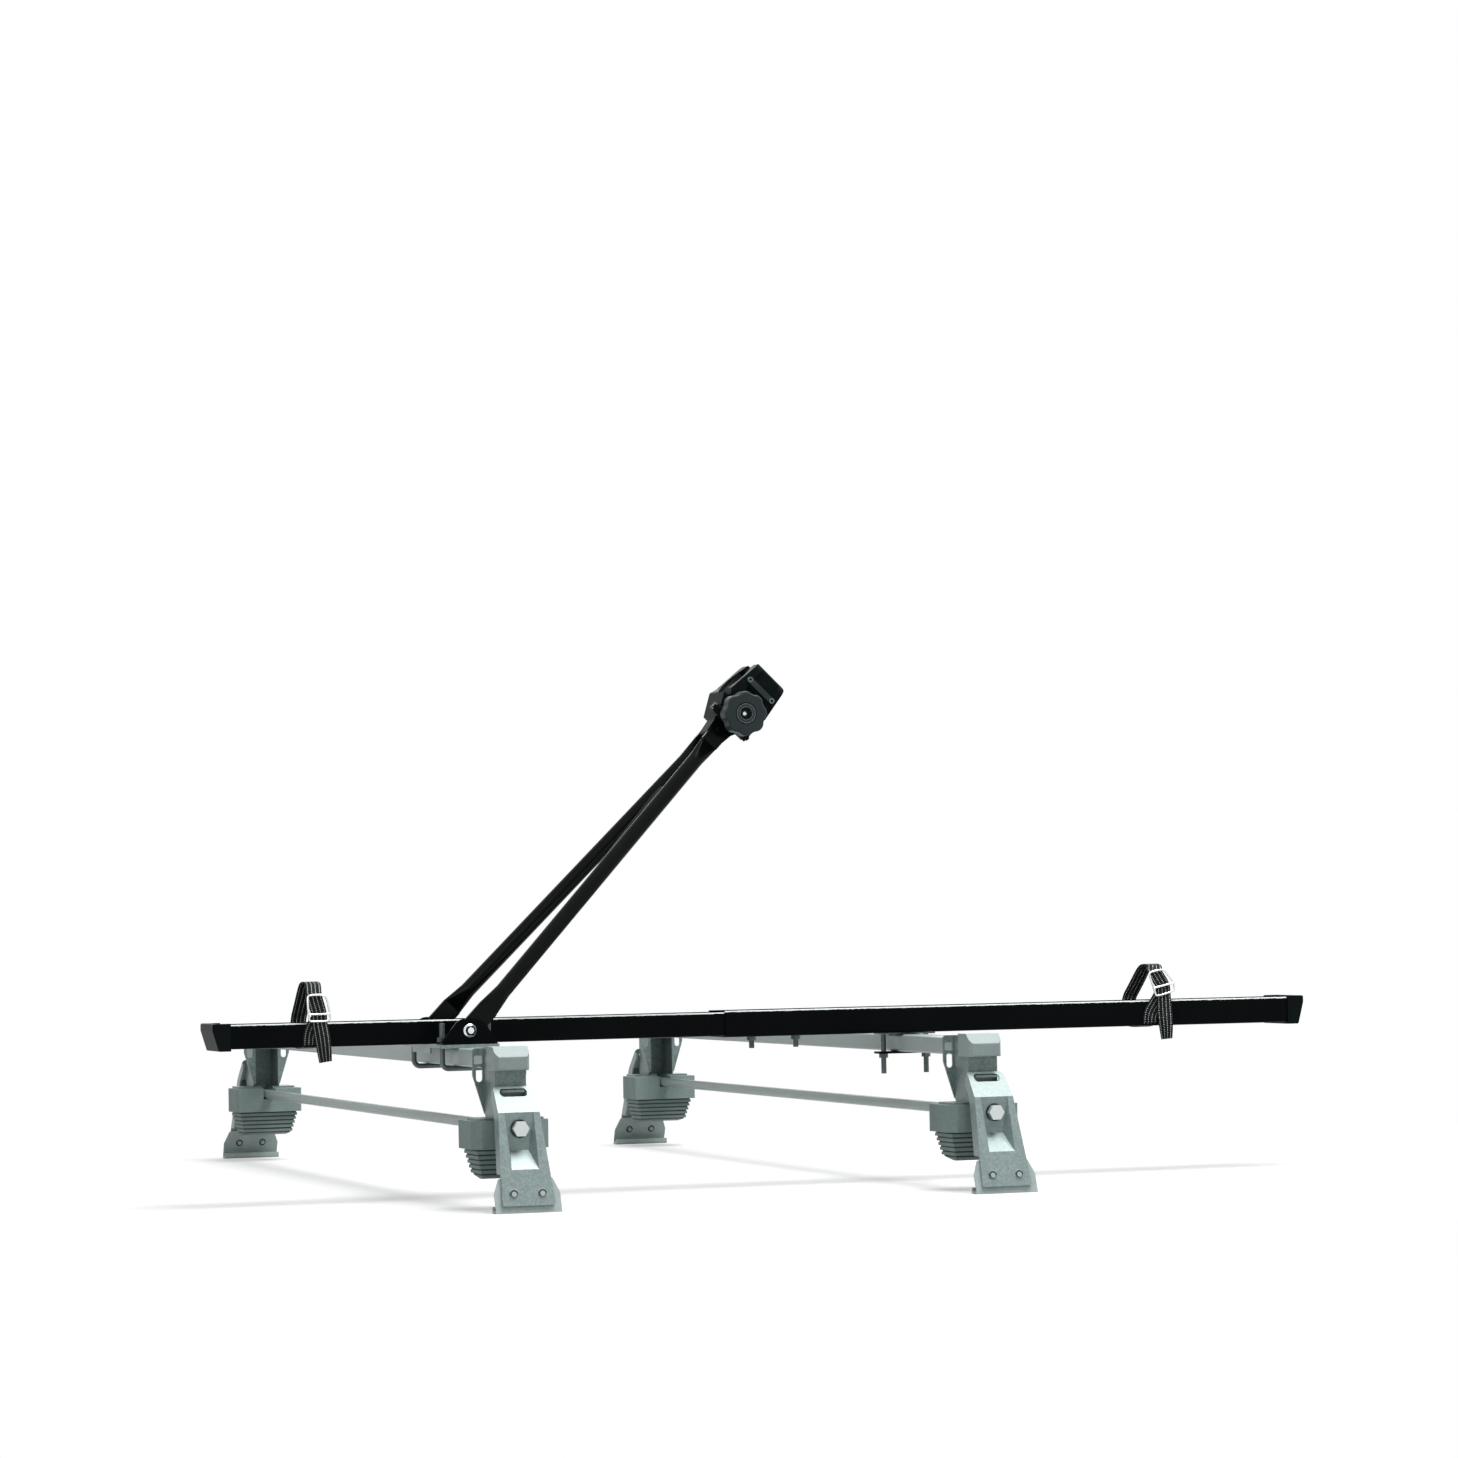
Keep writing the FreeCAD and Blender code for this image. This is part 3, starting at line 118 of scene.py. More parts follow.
# %% [markdown]
# ## The studio
#
# The rack stands on a sheet of paper under a large soft lamp. Only rays that come from the camera, or from
# a mirror-like or clear surface, find the paper glowing white. All other rays find plain grey paper, so it
# doesn't light the object from below. Near the object the white is mixed with the paper's own shading,
# which keeps a soft shadow, and the mix fades out with distance, so no horizon shows. The lamp hangs
# overhead: in the photograph every face that leans back is near white, and upright faces are far darker.

# %% Light that should find the white page
def add_page_rays(tree):
    """A socket that is 1 for camera, glossy and transmission rays."""
    seen = tree.nodes.new("ShaderNodeLightPath")
    total = seen.outputs["Is Camera Ray"]
    for label in ("Is Glossy Ray", "Is Transmission Ray"):
        either = tree.nodes.new("ShaderNodeMath")
        either.operation = "MAXIMUM"
        tree.links.new(total, either.inputs[0])
        tree.links.new(seen.outputs[label], either.inputs[1])
        total = either.outputs[0]
    return total


# %% Floor and page
page_size = 24.0
page_grey = (0.36, 0.37, 0.37, 1.0)
shadow_share = 0.55
shadow_reach = (0.75, 1.5)


def page_material():
    """Grey paper for the object's light, and a white page with a soft shadow for the camera."""
    material = bpy.data.materials.new("white_page")
    material.use_nodes = True
    tree = material.node_tree
    tree.nodes.clear()
    out = tree.nodes.new("ShaderNodeOutputMaterial")
    plain = tree.nodes.new("ShaderNodeBsdfDiffuse")
    plain.inputs["Color"].default_value = page_grey
    pale = tree.nodes.new("ShaderNodeBsdfDiffuse")
    pale.inputs["Color"].default_value = (0.95, 0.95, 0.95, 1.0)
    bright = tree.nodes.new("ShaderNodeEmission")
    place = tree.nodes.new("ShaderNodeTexCoord")
    length = tree.nodes.new("ShaderNodeVectorMath")
    length.operation = "LENGTH"
    fade = tree.nodes.new("ShaderNodeMapRange")
    fade.interpolation_type = "SMOOTHSTEP"
    fade.inputs["From Min"].default_value = shadow_reach[0]
    fade.inputs["From Max"].default_value = shadow_reach[1]
    fade.inputs["To Min"].default_value = 1.0 - shadow_share
    fade.inputs["To Max"].default_value = 1.0
    shown = tree.nodes.new("ShaderNodeMixShader")
    chosen = tree.nodes.new("ShaderNodeMixShader")
    tree.links.new(place.outputs["Object"], length.inputs[0])
    tree.links.new(length.outputs["Value"], fade.inputs["Value"])
    tree.links.new(fade.outputs["Result"], shown.inputs["Fac"])
    tree.links.new(pale.outputs[0], shown.inputs[1])
    tree.links.new(bright.outputs[0], shown.inputs[2])
    tree.links.new(add_page_rays(tree), chosen.inputs["Fac"])
    tree.links.new(plain.outputs[0], chosen.inputs[1])
    tree.links.new(shown.outputs[0], chosen.inputs[2])
    tree.links.new(chosen.outputs[0], out.inputs["Surface"])
    return material


bpy.ops.mesh.primitive_plane_add(size=page_size)
page = bpy.context.object
page.name = "page_floor"
page.data.materials.append(page_material())
page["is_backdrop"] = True

# %% World light
world = bpy.data.worlds.new("studio")
bpy.context.scene.world = world
world.use_nodes = True
tree = world.node_tree
tree.nodes.clear()
world_out = tree.nodes.new("ShaderNodeOutputWorld")
to_object = tree.nodes.new("ShaderNodeBackground")
to_object.inputs["Color"].default_value = (0.96, 1.0, 1.0, 1.0)
to_object.inputs["Strength"].default_value = 0.2
to_camera = tree.nodes.new("ShaderNodeBackground")
to_camera.inputs["Color"].default_value = (1.0, 1.0, 1.0, 1.0)
mix = tree.nodes.new("ShaderNodeMixShader")
tree.links.new(add_page_rays(tree), mix.inputs["Fac"])
tree.links.new(to_object.outputs[0], mix.inputs[1])
tree.links.new(to_camera.outputs[0], mix.inputs[2])
tree.links.new(mix.outputs[0], world_out.inputs["Surface"])
bpy.context.scene.view_settings.view_transform = "Standard"


# %% Lamps
def soft_lamp(name, place, aim, size, power):
    """A square area lamp at place, facing aim, in metres and watts."""
    data = bpy.data.lights.new(name, "AREA")
    data.size = size
    data.energy = power
    lamp = bpy.data.objects.new(name, data)
    bpy.context.scene.collection.objects.link(lamp)
    lamp.matrix_world = Matrix.Translation(Vector(place)) @ (
        Vector(aim) - Vector(place)).to_track_quat("-Z", "Y").to_matrix().to_4x4()
    return lamp


middle = (0.0, 0.0, 0.2)
soft_lamp("overhead_lamp", (0.6, -0.8, 3.5), middle, 2.1, 165.0)
soft_lamp("front_lamp", (-3.2, -2.9, 1.5), middle, 1.8, 20.0)
soft_lamp("back_lamp", (0.9, 3.2, 2.2), middle, 2.0, 24.0)

# %% [markdown]
# ## Effects that several finishes share
#
# Real paint is never one flat number: it has a fine ripple, faint stains and a slightly uneven gloss.
# Each such effect is a shader node group with named inputs, built once. A material then places the group
# with its own sizes. All of them read Object coordinates, which every piece has, so the patterns keep
# their real size on a piece of any shape.

# %% Node group helper
def new_group(name, inputs, outputs):
    """An empty shader group with float inputs {name: default} and outputs; gives tree, ins, outs."""
    group = bpy.data.node_groups.new(name, "ShaderNodeTree")
    for label, default in inputs.items():
        socket = group.interface.new_socket(name=label, in_out="INPUT", socket_type="NodeSocketFloat")
        socket.default_value = default
    for label in outputs:
        group.interface.new_socket(name=label, in_out="OUTPUT", socket_type="NodeSocketFloat")
    return group, group.nodes.new("NodeGroupInput"), group.nodes.new("NodeGroupOutput")


def stretch(tree, value, low, high):
    """A Map Range node that spreads a 0 to 1 value from low to high; low and high may be sockets."""
    node = tree.nodes.new("ShaderNodeMapRange")
    tree.links.new(value, node.inputs["Value"])
    for label, amount in (("To Min", low), ("To Max", high)):
        if isinstance(amount, (int, float)):
            node.inputs[label].default_value = amount
        else:
            tree.links.new(amount, node.inputs[label])
    return node.outputs["Result"]


def place_parts(tree):
    """Sockets X, Y and Z of the Object coordinates, and the coordinates as one socket."""
    place = tree.nodes.new("ShaderNodeTexCoord").outputs["Object"]
    parts = tree.nodes.new("ShaderNodeSeparateXYZ")
    tree.links.new(place, parts.inputs["Vector"])
    return parts.outputs, place


def calculator(tree):
    """A function that adds one math node to the tree; each operand is a number or a socket."""
    def calc(operation, a, b=0.0):
        node = tree.nodes.new("ShaderNodeMath")
        node.operation = operation
        for socket, value in zip(node.inputs, (a, b)):
            if isinstance(value, float):
                socket.default_value = value
            else:
                tree.links.new(value, socket)
        return node.outputs[0]

    return calc


# %% Ripple: the small waves of sprayed paint and moulded plastic
def make_ripple():
    """Fine noise for a bump, its size and roughness set from outside."""
    group, ins, outs = new_group("ripple", {"Size per metre": 900.0, "Roughness": 0.6}, ["Height"])
    place = group.nodes.new("ShaderNodeTexCoord")
    noise = group.nodes.new("ShaderNodeTexNoise")
    noise.inputs["Detail"].default_value = 3.0
    group.links.new(place.outputs["Object"], noise.inputs["Vector"])
    group.links.new(ins.outputs["Size per metre"], noise.inputs["Scale"])
    group.links.new(ins.outputs["Roughness"], noise.inputs["Roughness"])
    group.links.new(noise.outputs["Fac"], outs.inputs["Height"])
    return group


# %% Wear: broad stains and fine dust that change colour and gloss a little
def make_wear():
    """A slow noise and a fine one, mixed into one amount."""
    group, ins, outs = new_group("wear", {"Stain size per metre": 14.0, "Dust size per metre": 260.0,
                                          "Dust share": 0.35}, ["Amount"])
    place = group.nodes.new("ShaderNodeTexCoord")
    stain = group.nodes.new("ShaderNodeTexNoise")
    stain.inputs["Detail"].default_value = 5.0
    dust = group.nodes.new("ShaderNodeTexNoise")
    dust.inputs["Detail"].default_value = 2.0
    for noise, label in ((stain, "Stain size per metre"), (dust, "Dust size per metre")):
        group.links.new(place.outputs["Object"], noise.inputs["Vector"])
        group.links.new(ins.outputs[label], noise.inputs["Scale"])
    blend = group.nodes.new("ShaderNodeMix")
    group.links.new(ins.outputs["Dust share"], blend.inputs["Factor"])
    group.links.new(stain.outputs["Fac"], blend.inputs["A"])
    group.links.new(dust.outputs["Fac"], blend.inputs["B"])
    group.links.new(blend.outputs["Result"], outs.inputs["Amount"])
    return group


# %% Plating: fine crystals of zinc and the streaks of rolled sheet
def make_plating():
    """Flat shaded cells mixed with noise that is drawn out along Z."""
    group, ins, outs = new_group("plating", {"Crystals per metre": 420.0, "Streaks per metre": 700.0,
                                             "Streak share": 0.55}, ["Shade"])
    place = group.nodes.new("ShaderNodeTexCoord")
    crystals = group.nodes.new("ShaderNodeTexVoronoi")
    group.links.new(place.outputs["Object"], crystals.inputs["Vector"])
    group.links.new(ins.outputs["Crystals per metre"], crystals.inputs["Scale"])
    shade = group.nodes.new("ShaderNodeSeparateColor")
    group.links.new(crystals.outputs["Color"], shade.inputs["Color"])
    squeeze = group.nodes.new("ShaderNodeVectorMath")
    squeeze.operation = "MULTIPLY"
    squeeze.inputs[1].default_value = (1.0, 1.0, 0.05)
    group.links.new(place.outputs["Object"], squeeze.inputs[0])
    streaks = group.nodes.new("ShaderNodeTexNoise")
    streaks.inputs["Detail"].default_value = 3.0
    group.links.new(squeeze.outputs[0], streaks.inputs["Vector"])
    group.links.new(ins.outputs["Streaks per metre"], streaks.inputs["Scale"])
    blend = group.nodes.new("ShaderNodeMix")
    group.links.new(ins.outputs["Streak share"], blend.inputs["Factor"])
    group.links.new(shade.outputs[0], blend.inputs["A"])
    group.links.new(streaks.outputs["Fac"], blend.inputs["B"])
    group.links.new(blend.outputs["Result"], outs.inputs["Shade"])
    return group


ripple = make_ripple()
wear = make_wear()
plating = make_plating()
print("shared effects:", [g.name for g in (ripple, wear, plating)])

# %% [markdown]
# ## Finishes
#
# One function makes every hard finish, because they differ only in a few numbers: two near colours that
# the wear group mixes, a gloss that moves with the same wear, and a ripple for the bump. The print shows
# the carrier in full black ink and the crossbars in a paler, cool grey, so the metals lean a little to
# green-blue.

# %% Hard finishes
def hard_finish(name, colour, worn, metallic=0.0, gloss=(0.3, 0.45), ripple_size=900.0, ripple_height=0.05,
                stain=14.0, shine=0.5, pattern=None):
    """A painted, plated or moulded surface; gloss is the roughness from clean to worn."""
    material = bpy.data.materials.new(name)
    material.use_nodes = True
    tree = material.node_tree
    shader = tree.nodes["Principled BSDF"]
    amount = tree.nodes.new("ShaderNodeGroup")
    amount.node_tree = wear if pattern is None else pattern
    label = "Stain size per metre" if pattern is None else "Crystals per metre"
    amount.inputs[label].default_value = stain
    ramp = tree.nodes.new("ShaderNodeValToRGB")
    ramp.color_ramp.elements[0].position = 0.3
    ramp.color_ramp.elements[0].color = (*colour, 1.0)
    ramp.color_ramp.elements[1].position = 0.75
    ramp.color_ramp.elements[1].color = (*worn, 1.0)
    tree.links.new(amount.outputs[0], ramp.inputs["Fac"])
    tree.links.new(ramp.outputs["Color"], shader.inputs["Base Color"])
    tree.links.new(stretch(tree, amount.outputs[0], *gloss), shader.inputs["Roughness"])
    waves = tree.nodes.new("ShaderNodeGroup")
    waves.node_tree = ripple
    waves.inputs["Size per metre"].default_value = ripple_size
    bump = tree.nodes.new("ShaderNodeBump")
    bump.inputs["Strength"].default_value = 0.35
    bump.inputs["Distance"].default_value = ripple_height / 1000.0
    tree.links.new(waves.outputs["Height"], bump.inputs["Height"])
    tree.links.new(bump.outputs["Normal"], shader.inputs["Normal"])
    shader.inputs["Metallic"].default_value = metallic
    shader.inputs["Specular IOR Level"].default_value = shine
    return material


enamel = {"colour": (0.0022, 0.0032, 0.0036), "worn": (0.0042, 0.0056, 0.006),
          "ripple_size": 420.0, "ripple_height": 0.06}
pressed_sheet = {"metallic": 0.15, "gloss": (0.3, 0.46), "ripple_size": 700.0, "stain": 420.0,
                 "pattern": plating}
black_enamel = hard_finish("black_enamel", gloss=(0.2, 0.32), shine=0.03, **enamel)
leg_enamel = hard_finish("glossy_leg_enamel", gloss=(0.16, 0.26), shine=0.09, **enamel)
black_plastic = hard_finish("black_moulded_plastic", (0.003, 0.005, 0.006), (0.008, 0.012, 0.013),
                            gloss=(0.36, 0.48), ripple_size=1500.0, ripple_height=0.12, shine=0.04)
knob_plastic = hard_finish("grey_knob_plastic", (0.024, 0.034, 0.036), (0.036, 0.049, 0.051),
                           gloss=(0.4, 0.52), ripple_size=1500.0, ripple_height=0.15, shine=0.15)
plated_sheet = hard_finish("plated_sheet_steel", (0.25, 0.325, 0.32), (0.34, 0.42, 0.41), **pressed_sheet)
# painted shade: the towers take a darker copy of the plated sheet's finish
tower_sheet_shaded = hard_finish("shaded_tower_steel", (0.15, 0.205, 0.20), (0.235, 0.30, 0.29), **pressed_sheet)
hook_sheet = hard_finish("dull_hook_steel", (0.36, 0.44, 0.43), (0.54, 0.61, 0.60), metallic=0.15,
                         gloss=(0.4, 0.55), ripple_size=500.0, ripple_height=0.06, stain=30.0)
bar_paint = hard_finish("grey_bar_paint", (0.33, 0.41, 0.40), (0.42, 0.50, 0.49), gloss=(0.3, 0.42),
                        ripple_size=600.0, ripple_height=0.05)
cover_plastic = hard_finish("grey_cover_plastic", (0.33, 0.41, 0.40), (0.42, 0.50, 0.49), gloss=(0.45, 0.6),
                            ripple_size=1500.0, ripple_height=0.2)
pad_rubber = hard_finish("grey_pad_rubber", (0.21, 0.28, 0.27), (0.31, 0.385, 0.375), gloss=(0.55, 0.75),
                         ripple_size=1100.0, ripple_height=0.2, shine=0.3)
liner_rubber = hard_finish("black_liner_rubber", (0.008, 0.010, 0.010), (0.018, 0.021, 0.021),
                           gloss=(0.7, 0.85), ripple_size=1300.0, ripple_height=0.15, shine=0.3)
zinc_bolts = hard_finish("zinc_bolt_steel", (0.72, 0.78, 0.77), (0.82, 0.86, 0.85), metallic=0.55,
                         gloss=(0.2, 0.32), ripple_size=900.0, ripple_height=0.04)
bright_wire = hard_finish("bright_steel", (0.80, 0.84, 0.84), (0.88, 0.91, 0.91), metallic=0.8,
                          gloss=(0.1, 0.22), ripple_size=800.0, ripple_height=0.03)
dark_steel = hard_finish("dark_link_steel", (0.014, 0.021, 0.023), (0.04, 0.052, 0.055), metallic=0.3,
                         gloss=(0.28, 0.4), ripple_size=600.0, ripple_height=0.05, shine=0.25)
threaded_steel = hard_finish("threaded_steel", (0.075, 0.098, 0.10), (0.17, 0.205, 0.21), metallic=0.5,
                             gloss=(0.25, 0.4), ripple_size=900.0, ripple_height=0.05, shine=0.4)
print("hard finishes:", len([m for m in bpy.data.materials if m.use_nodes]) - 1)

# %% [markdown]
# ## Painted light and shade in rings on round parts
#
# Rings of painted light and shade are laid about an axis that runs along Y: painted highlights on the
# knob's groove and painted shade in its hex recess, painted shade on the lock's face round a small painted
# glint, a painted shade ring on the pivot bolts' heads, a pale rim with a painted shaded hole on each of
# the link's tubular rivets, and painted shadow round the foot rivets. A group measures the distance from
# that axis in Object coordinates, and one mix node per ring lays a colour between two radii.

# %% Ring group and ring colours
def make_ring():
    """A mask that is one between two radii about an axis along Y."""
    group, ins, outs = new_group("ring", {"Centre X": 0.0, "Centre Z": 0.0, "Inner": 0.0, "Outer": 0.01},
                                 ["Mask"])
    calc = calculator(group)
    parts, _ = place_parts(group)
    squares = []
    for axis in ("X", "Z"):
        away = calc("SUBTRACT", parts[axis], ins.outputs["Centre " + axis])
        squares.append(calc("MULTIPLY", away, away))
    total = calc("ADD", *squares)
    beyond = calc("GREATER_THAN", total, calc("MULTIPLY", ins.outputs["Inner"], ins.outputs["Inner"]))
    within = calc("LESS_THAN", total, calc("MULTIPLY", ins.outputs["Outer"], ins.outputs["Outer"]))
    group.links.new(calc("MULTIPLY", beyond, within), outs.inputs["Mask"])
    return group


def lay_over(tree, mask, colour):
    """Mix a colour over the base colour that a material has so far, where the mask is one."""
    base = tree.nodes["Principled BSDF"].inputs["Base Color"]
    below = base.links[0].from_socket
    over = tree.nodes.new("ShaderNodeMix")
    over.data_type = "RGBA"
    over.inputs[7].default_value = (*colour, 1.0)
    tree.links.new(mask, over.inputs[0])
    tree.links.new(below, over.inputs[6])
    tree.links.new(over.outputs[2], base)


def ringed(material, name, centres, rings):
    """Lay rings (inner, outer, colour) about each centre (x, z) over a copy of a material."""
    material = material.copy()
    material.name = name
    tree = material.node_tree
    for centre in centres:
        for inner, outer, colour in rings:
            ring = tree.nodes.new("ShaderNodeGroup")
            ring.node_tree = ring_group
            for label, value in zip(("Centre X", "Centre Z", "Inner", "Outer"), (*centre, inner, outer)):
                ring.inputs[label].default_value = value
            lay_over(tree, ring.outputs["Mask"], colour)
    return material


ring_group = make_ring()
ring_highlight = (0.20, 0.25, 0.25)
ring_pale = (0.15, 0.19, 0.19)
ring_shadow = (0.035, 0.05, 0.05)
ring_shade = (0.006, 0.009, 0.010)
# painted highlights: two pale rings on the knob's groove; painted shade fills its hex recess
knob_rings = ((0.0107, 0.0113, ring_highlight), (0.0076, 0.0080, ring_highlight), (0.0, 0.0056, ring_shade))
# painted shade over the lock's face, leaving a small bright spot as a painted glint
lock_rings = ((0.0021, 0.02, ring_shade),)
# painted shade: a dark ring round the bright centre of each pivot bolt's head
pivot_rings = ((0.0036, 0.0058, ring_shade),)
# a pale rim for each tubular rivet, and painted shade in its middle for the hole
link_rings = ((0.0016, 0.0034, ring_pale), (0.0, 0.0016, ring_shade))
# painted shadow round the heads of the foot rivets
foot_rings = ((0.0028, 0.0047, ring_shadow),)

knob_painted_light = ringed(knob_plastic, "knob_plastic_painted_light", [knob_axis], knob_rings)
lock_metal_painted_shade = ringed(bright_wire, "lock_metal_painted_shade", [knob_axis], lock_rings)
pivot_metal_painted_shade = ringed(bright_wire, "pivot_metal_painted_shade", [(bar_x["front"], pivot_z)], pivot_rings)
link_metal_painted_shade = ringed(dark_steel, "link_metal_painted_shade", link_rivets, link_rings)
hook_finish_shadowed = {end: ringed(hook_sheet, end + "_hook_steel",
                           [(x + side * foot_rivet_aside, foot_rivet_z) for side in (-1.0, 1.0)],
                           foot_rings)
               for end, x in bar_x.items()}
print("ring finishes:", 4 + len(hook_finish_shadowed))

# %% [markdown]
# ## Painted shade in the pads' grooves and painted highlights on the tray's rims
#
# A dark line of painted shade is laid at the height of each groove between the pads' ribs.
# Along the tray's rims a bright line is painted on the rounded outer corner: a painted highlight. The
# line is laid where a point is both near the rim's top and near its outside, with a little noise so that
# its edge isn't ruled.

# %% Grooves of the pads
groove_share = 0.35
groove_shade = (0.075, 0.105, 0.10)
tree = pad_rubber.node_tree
calc = calculator(tree)
parts, _ = place_parts(tree)
step = calc("DIVIDE", calc("SUBTRACT", pad_groove_top, parts["Z"]), pad_groove_pitch)
in_groove = calc("LESS_THAN", calc("FRACT", step), groove_share)
# painted shade: a dark line in each groove between the ribs
lay_over(tree, calc("MULTIPLY", in_groove, calc("GREATER_THAN", step, 0.0)), groove_shade)
print("groove pitch in mm:", round(pad_groove_pitch * 1000.0, 2))

# %% Tray finishes with a painted highlight on the rims
highlight_height = 0.0015
highlight_width = 0.0024
highlight_noise = 220.0
highlight_colour = (0.70, 0.75, 0.75)


def painted_rim_highlight(end):
    """Black enamel with a painted highlight along the two outer top corners of one end's tray."""
    material = black_enamel.copy()
    material.name = end + "_tray_enamel_highlit"
    tree = material.node_tree
    calc = calculator(tree)
    parts, place = place_parts(tree)
    noise = tree.nodes.new("ShaderNodeTexNoise")
    noise.inputs["Scale"].default_value = highlight_noise
    tree.links.new(place, noise.inputs["Vector"])
    uneven = calc("MULTIPLY", calc("SUBTRACT", noise.outputs["Fac"], 0.5), highlight_height)
    high = calc("GREATER_THAN", calc("ADD", parts["Z"], uneven), tray_top[end] - highlight_height)
    aside = calc("ABSOLUTE", calc("SUBTRACT", parts["Y"], tray_y))
    outside = calc("GREATER_THAN", aside, tray_half[end] - highlight_width)
    # painted highlight: a bright line along each rim's rounded outer corner
    lay_over(tree, calc("MULTIPLY", high, outside), highlight_colour)
    return material


tray_enamel_highlit = {end: painted_rim_highlight(end) for end in tray_half}
print("tray finishes:", [material.name for material in tray_enamel_highlit.values()])

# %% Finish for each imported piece
finish_of_slot = {
    "carrier_black": black_enamel, "black_plastic": black_plastic, "zinc_steel": plated_sheet,
    "hook_steel": hook_sheet, "bar_grey": bar_paint, "cover_plastic": cover_plastic,
    "pad_rubber": pad_rubber, "liner_rubber": liner_rubber, "bolt_zinc": zinc_bolts,
    "bright_wire": bright_wire, "dark_steel": dark_steel,
}
finish_of_node = {"knob": knob_painted_light, "lock_cylinder": lock_metal_painted_shade, "pivot_bolts": pivot_metal_painted_shade,
                  "jaw_link": link_metal_painted_shade}
for finish, names in ((leg_enamel, ("near_leg", "far_leg", "arm_brace_rod")),
                      (threaded_steel, ("u_bolts", "clamp_nuts", "rear_clamp_bolts", "tray_joint_bolts"))):
    for name in names:
        finish_of_node[name] = finish
for end in bar_x:
    finish_of_node[end + "_tray"] = tray_enamel_highlit[end]
    for side in ("_near", "_far"):
        finish_of_node[end + side + "_tower"] = tower_sheet_shaded
        finish_of_node[end + side + "_hook_plate"] = hook_finish_shadowed[end]
        # painted shade: the zinc clamp washers take the dark steel finish, a dark ring round each bolt head
        finish_of_node[end + side + "_clamp_washer"] = dark_steel
slot_of_node = {part["node"]: part["material_slot"] for part in frame["record"]["subparts"]}
for name, piece in nodes.items():
    finish = finish_of_node.get(name, finish_of_slot.get(slot_of_node[name]))
    if finish is not None:
        piece.data.materials.clear()
        piece.data.materials.append(finish)
print("packed pieces finished:", sum(slot_of_node[n] in finish_of_slot for n in nodes))

# %% [markdown]
# ## Wheel straps
#
# At each end of the tray there is one length of black webbing. It starts at a wire buckle on the near
# side, goes down and under the tray, up the far side, over the load and back down through the buckle, and
# its spare end hangs outside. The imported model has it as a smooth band. Here the same route is a chain of
# points whose corners are cut three times, and a thin section with rounded edges is swept along it. The
# sweep writes a UV map in metres, so that the weave runs along the webbing whatever way it turns.

# %% Route of a strap
strap_width = 0.0182
strap_thickness = 0.0016
strap_crown = 0.0185
strap_gap = 0.0002
tail_swing = 0.0088
rim_z = tray_top["rear"]


def cut_corners(points, rounds):
    """Chaikin's corner cutting on (x, y, z, turn) points; the two ends stay."""
    for _ in range(rounds):
        cut = [points[0]]
        for a, b in zip(points, points[1:]):
            cut.append(a.lerp(b, 0.25))
            cut.append(a.lerp(b, 0.75))
        cut.append(points[-1])
        points = cut
    return points


def strap_route(facts):
    """Points (x, y, z, turn about the run) of one strap, x counted from the strap's own middle."""
    out = tray_half[facts["end"]] + strap_thickness / 2.0 + strap_gap
    over = out + strap_thickness + 2.0 * strap_gap
    low = facts["floor_z"] - strap_thickness / 2.0 - strap_gap
    crown = strap_crown
    under, top, wire, bar, tip = [facts["x_" + label] for label in ("under", "top", "wire", "bar", "tip")]
    top_z, wire_z, bar_z, twist = facts["top_z"], facts["wire_z"], facts["bar_z"], facts["twist"]

    def swing(turn):
        return -over - tail_swing * math.sin(turn)

    route = [
        (bar, -out - 0.0003, bar_z - 0.006, 0.0), (0.5 * (bar + under), -out, rim_z - 0.004, 0.0),
        (under, -out, rim_z - 0.016, 0.0), (under, -out, low, 0.0), (under, out, low, 0.0),
        (under, out, rim_z, 0.0), (0.5 * (under + top), 0.026, rim_z + 0.017, 0.0),
        (top, crown + 0.002, top_z - 0.006, 0.0), (top, crown * 0.6, top_z, 0.0),
        (top, -crown * 0.6, top_z, 0.0), (0.6 * top + 0.4 * wire, -crown - 0.002, top_z - 0.006, 0.0),
        (wire, -over + 0.0012, wire_z, 0.0), (0.5 * (wire + bar), -over, 0.5 * (wire_z + bar_z), 0.0),
        (bar, -over - 0.0006, bar_z, 0.0), (bar, -over - 0.0008, bar_z - 0.010, 0.0),
        (0.6 * bar + 0.4 * tip, swing(twist * 0.25), 0.192, twist * 0.25),
        (0.3 * bar + 0.7 * tip, swing(twist * 0.65), 0.178, twist * 0.65),
        (tip, swing(twist), facts["tip_z"], twist),
    ]
    return cut_corners([Vector(point) for point in route], 3)


# %% Sweep the webbing
def flat_section(width, thickness, steps=3):
    """Corners of a flat bar's section with rounded edges, as (across, out); across is also the UV's v."""
    half = width / 2.0
    radius = thickness / 2.0
    section = []
    for side in (1.0, -1.0):
        for i in range(steps + 1):
            angle = side * math.pi / 2.0 - math.pi * i / steps
            across = side * (half - radius) + radius * math.cos(angle)
            section.append((across, radius * math.sin(angle)))
    return section


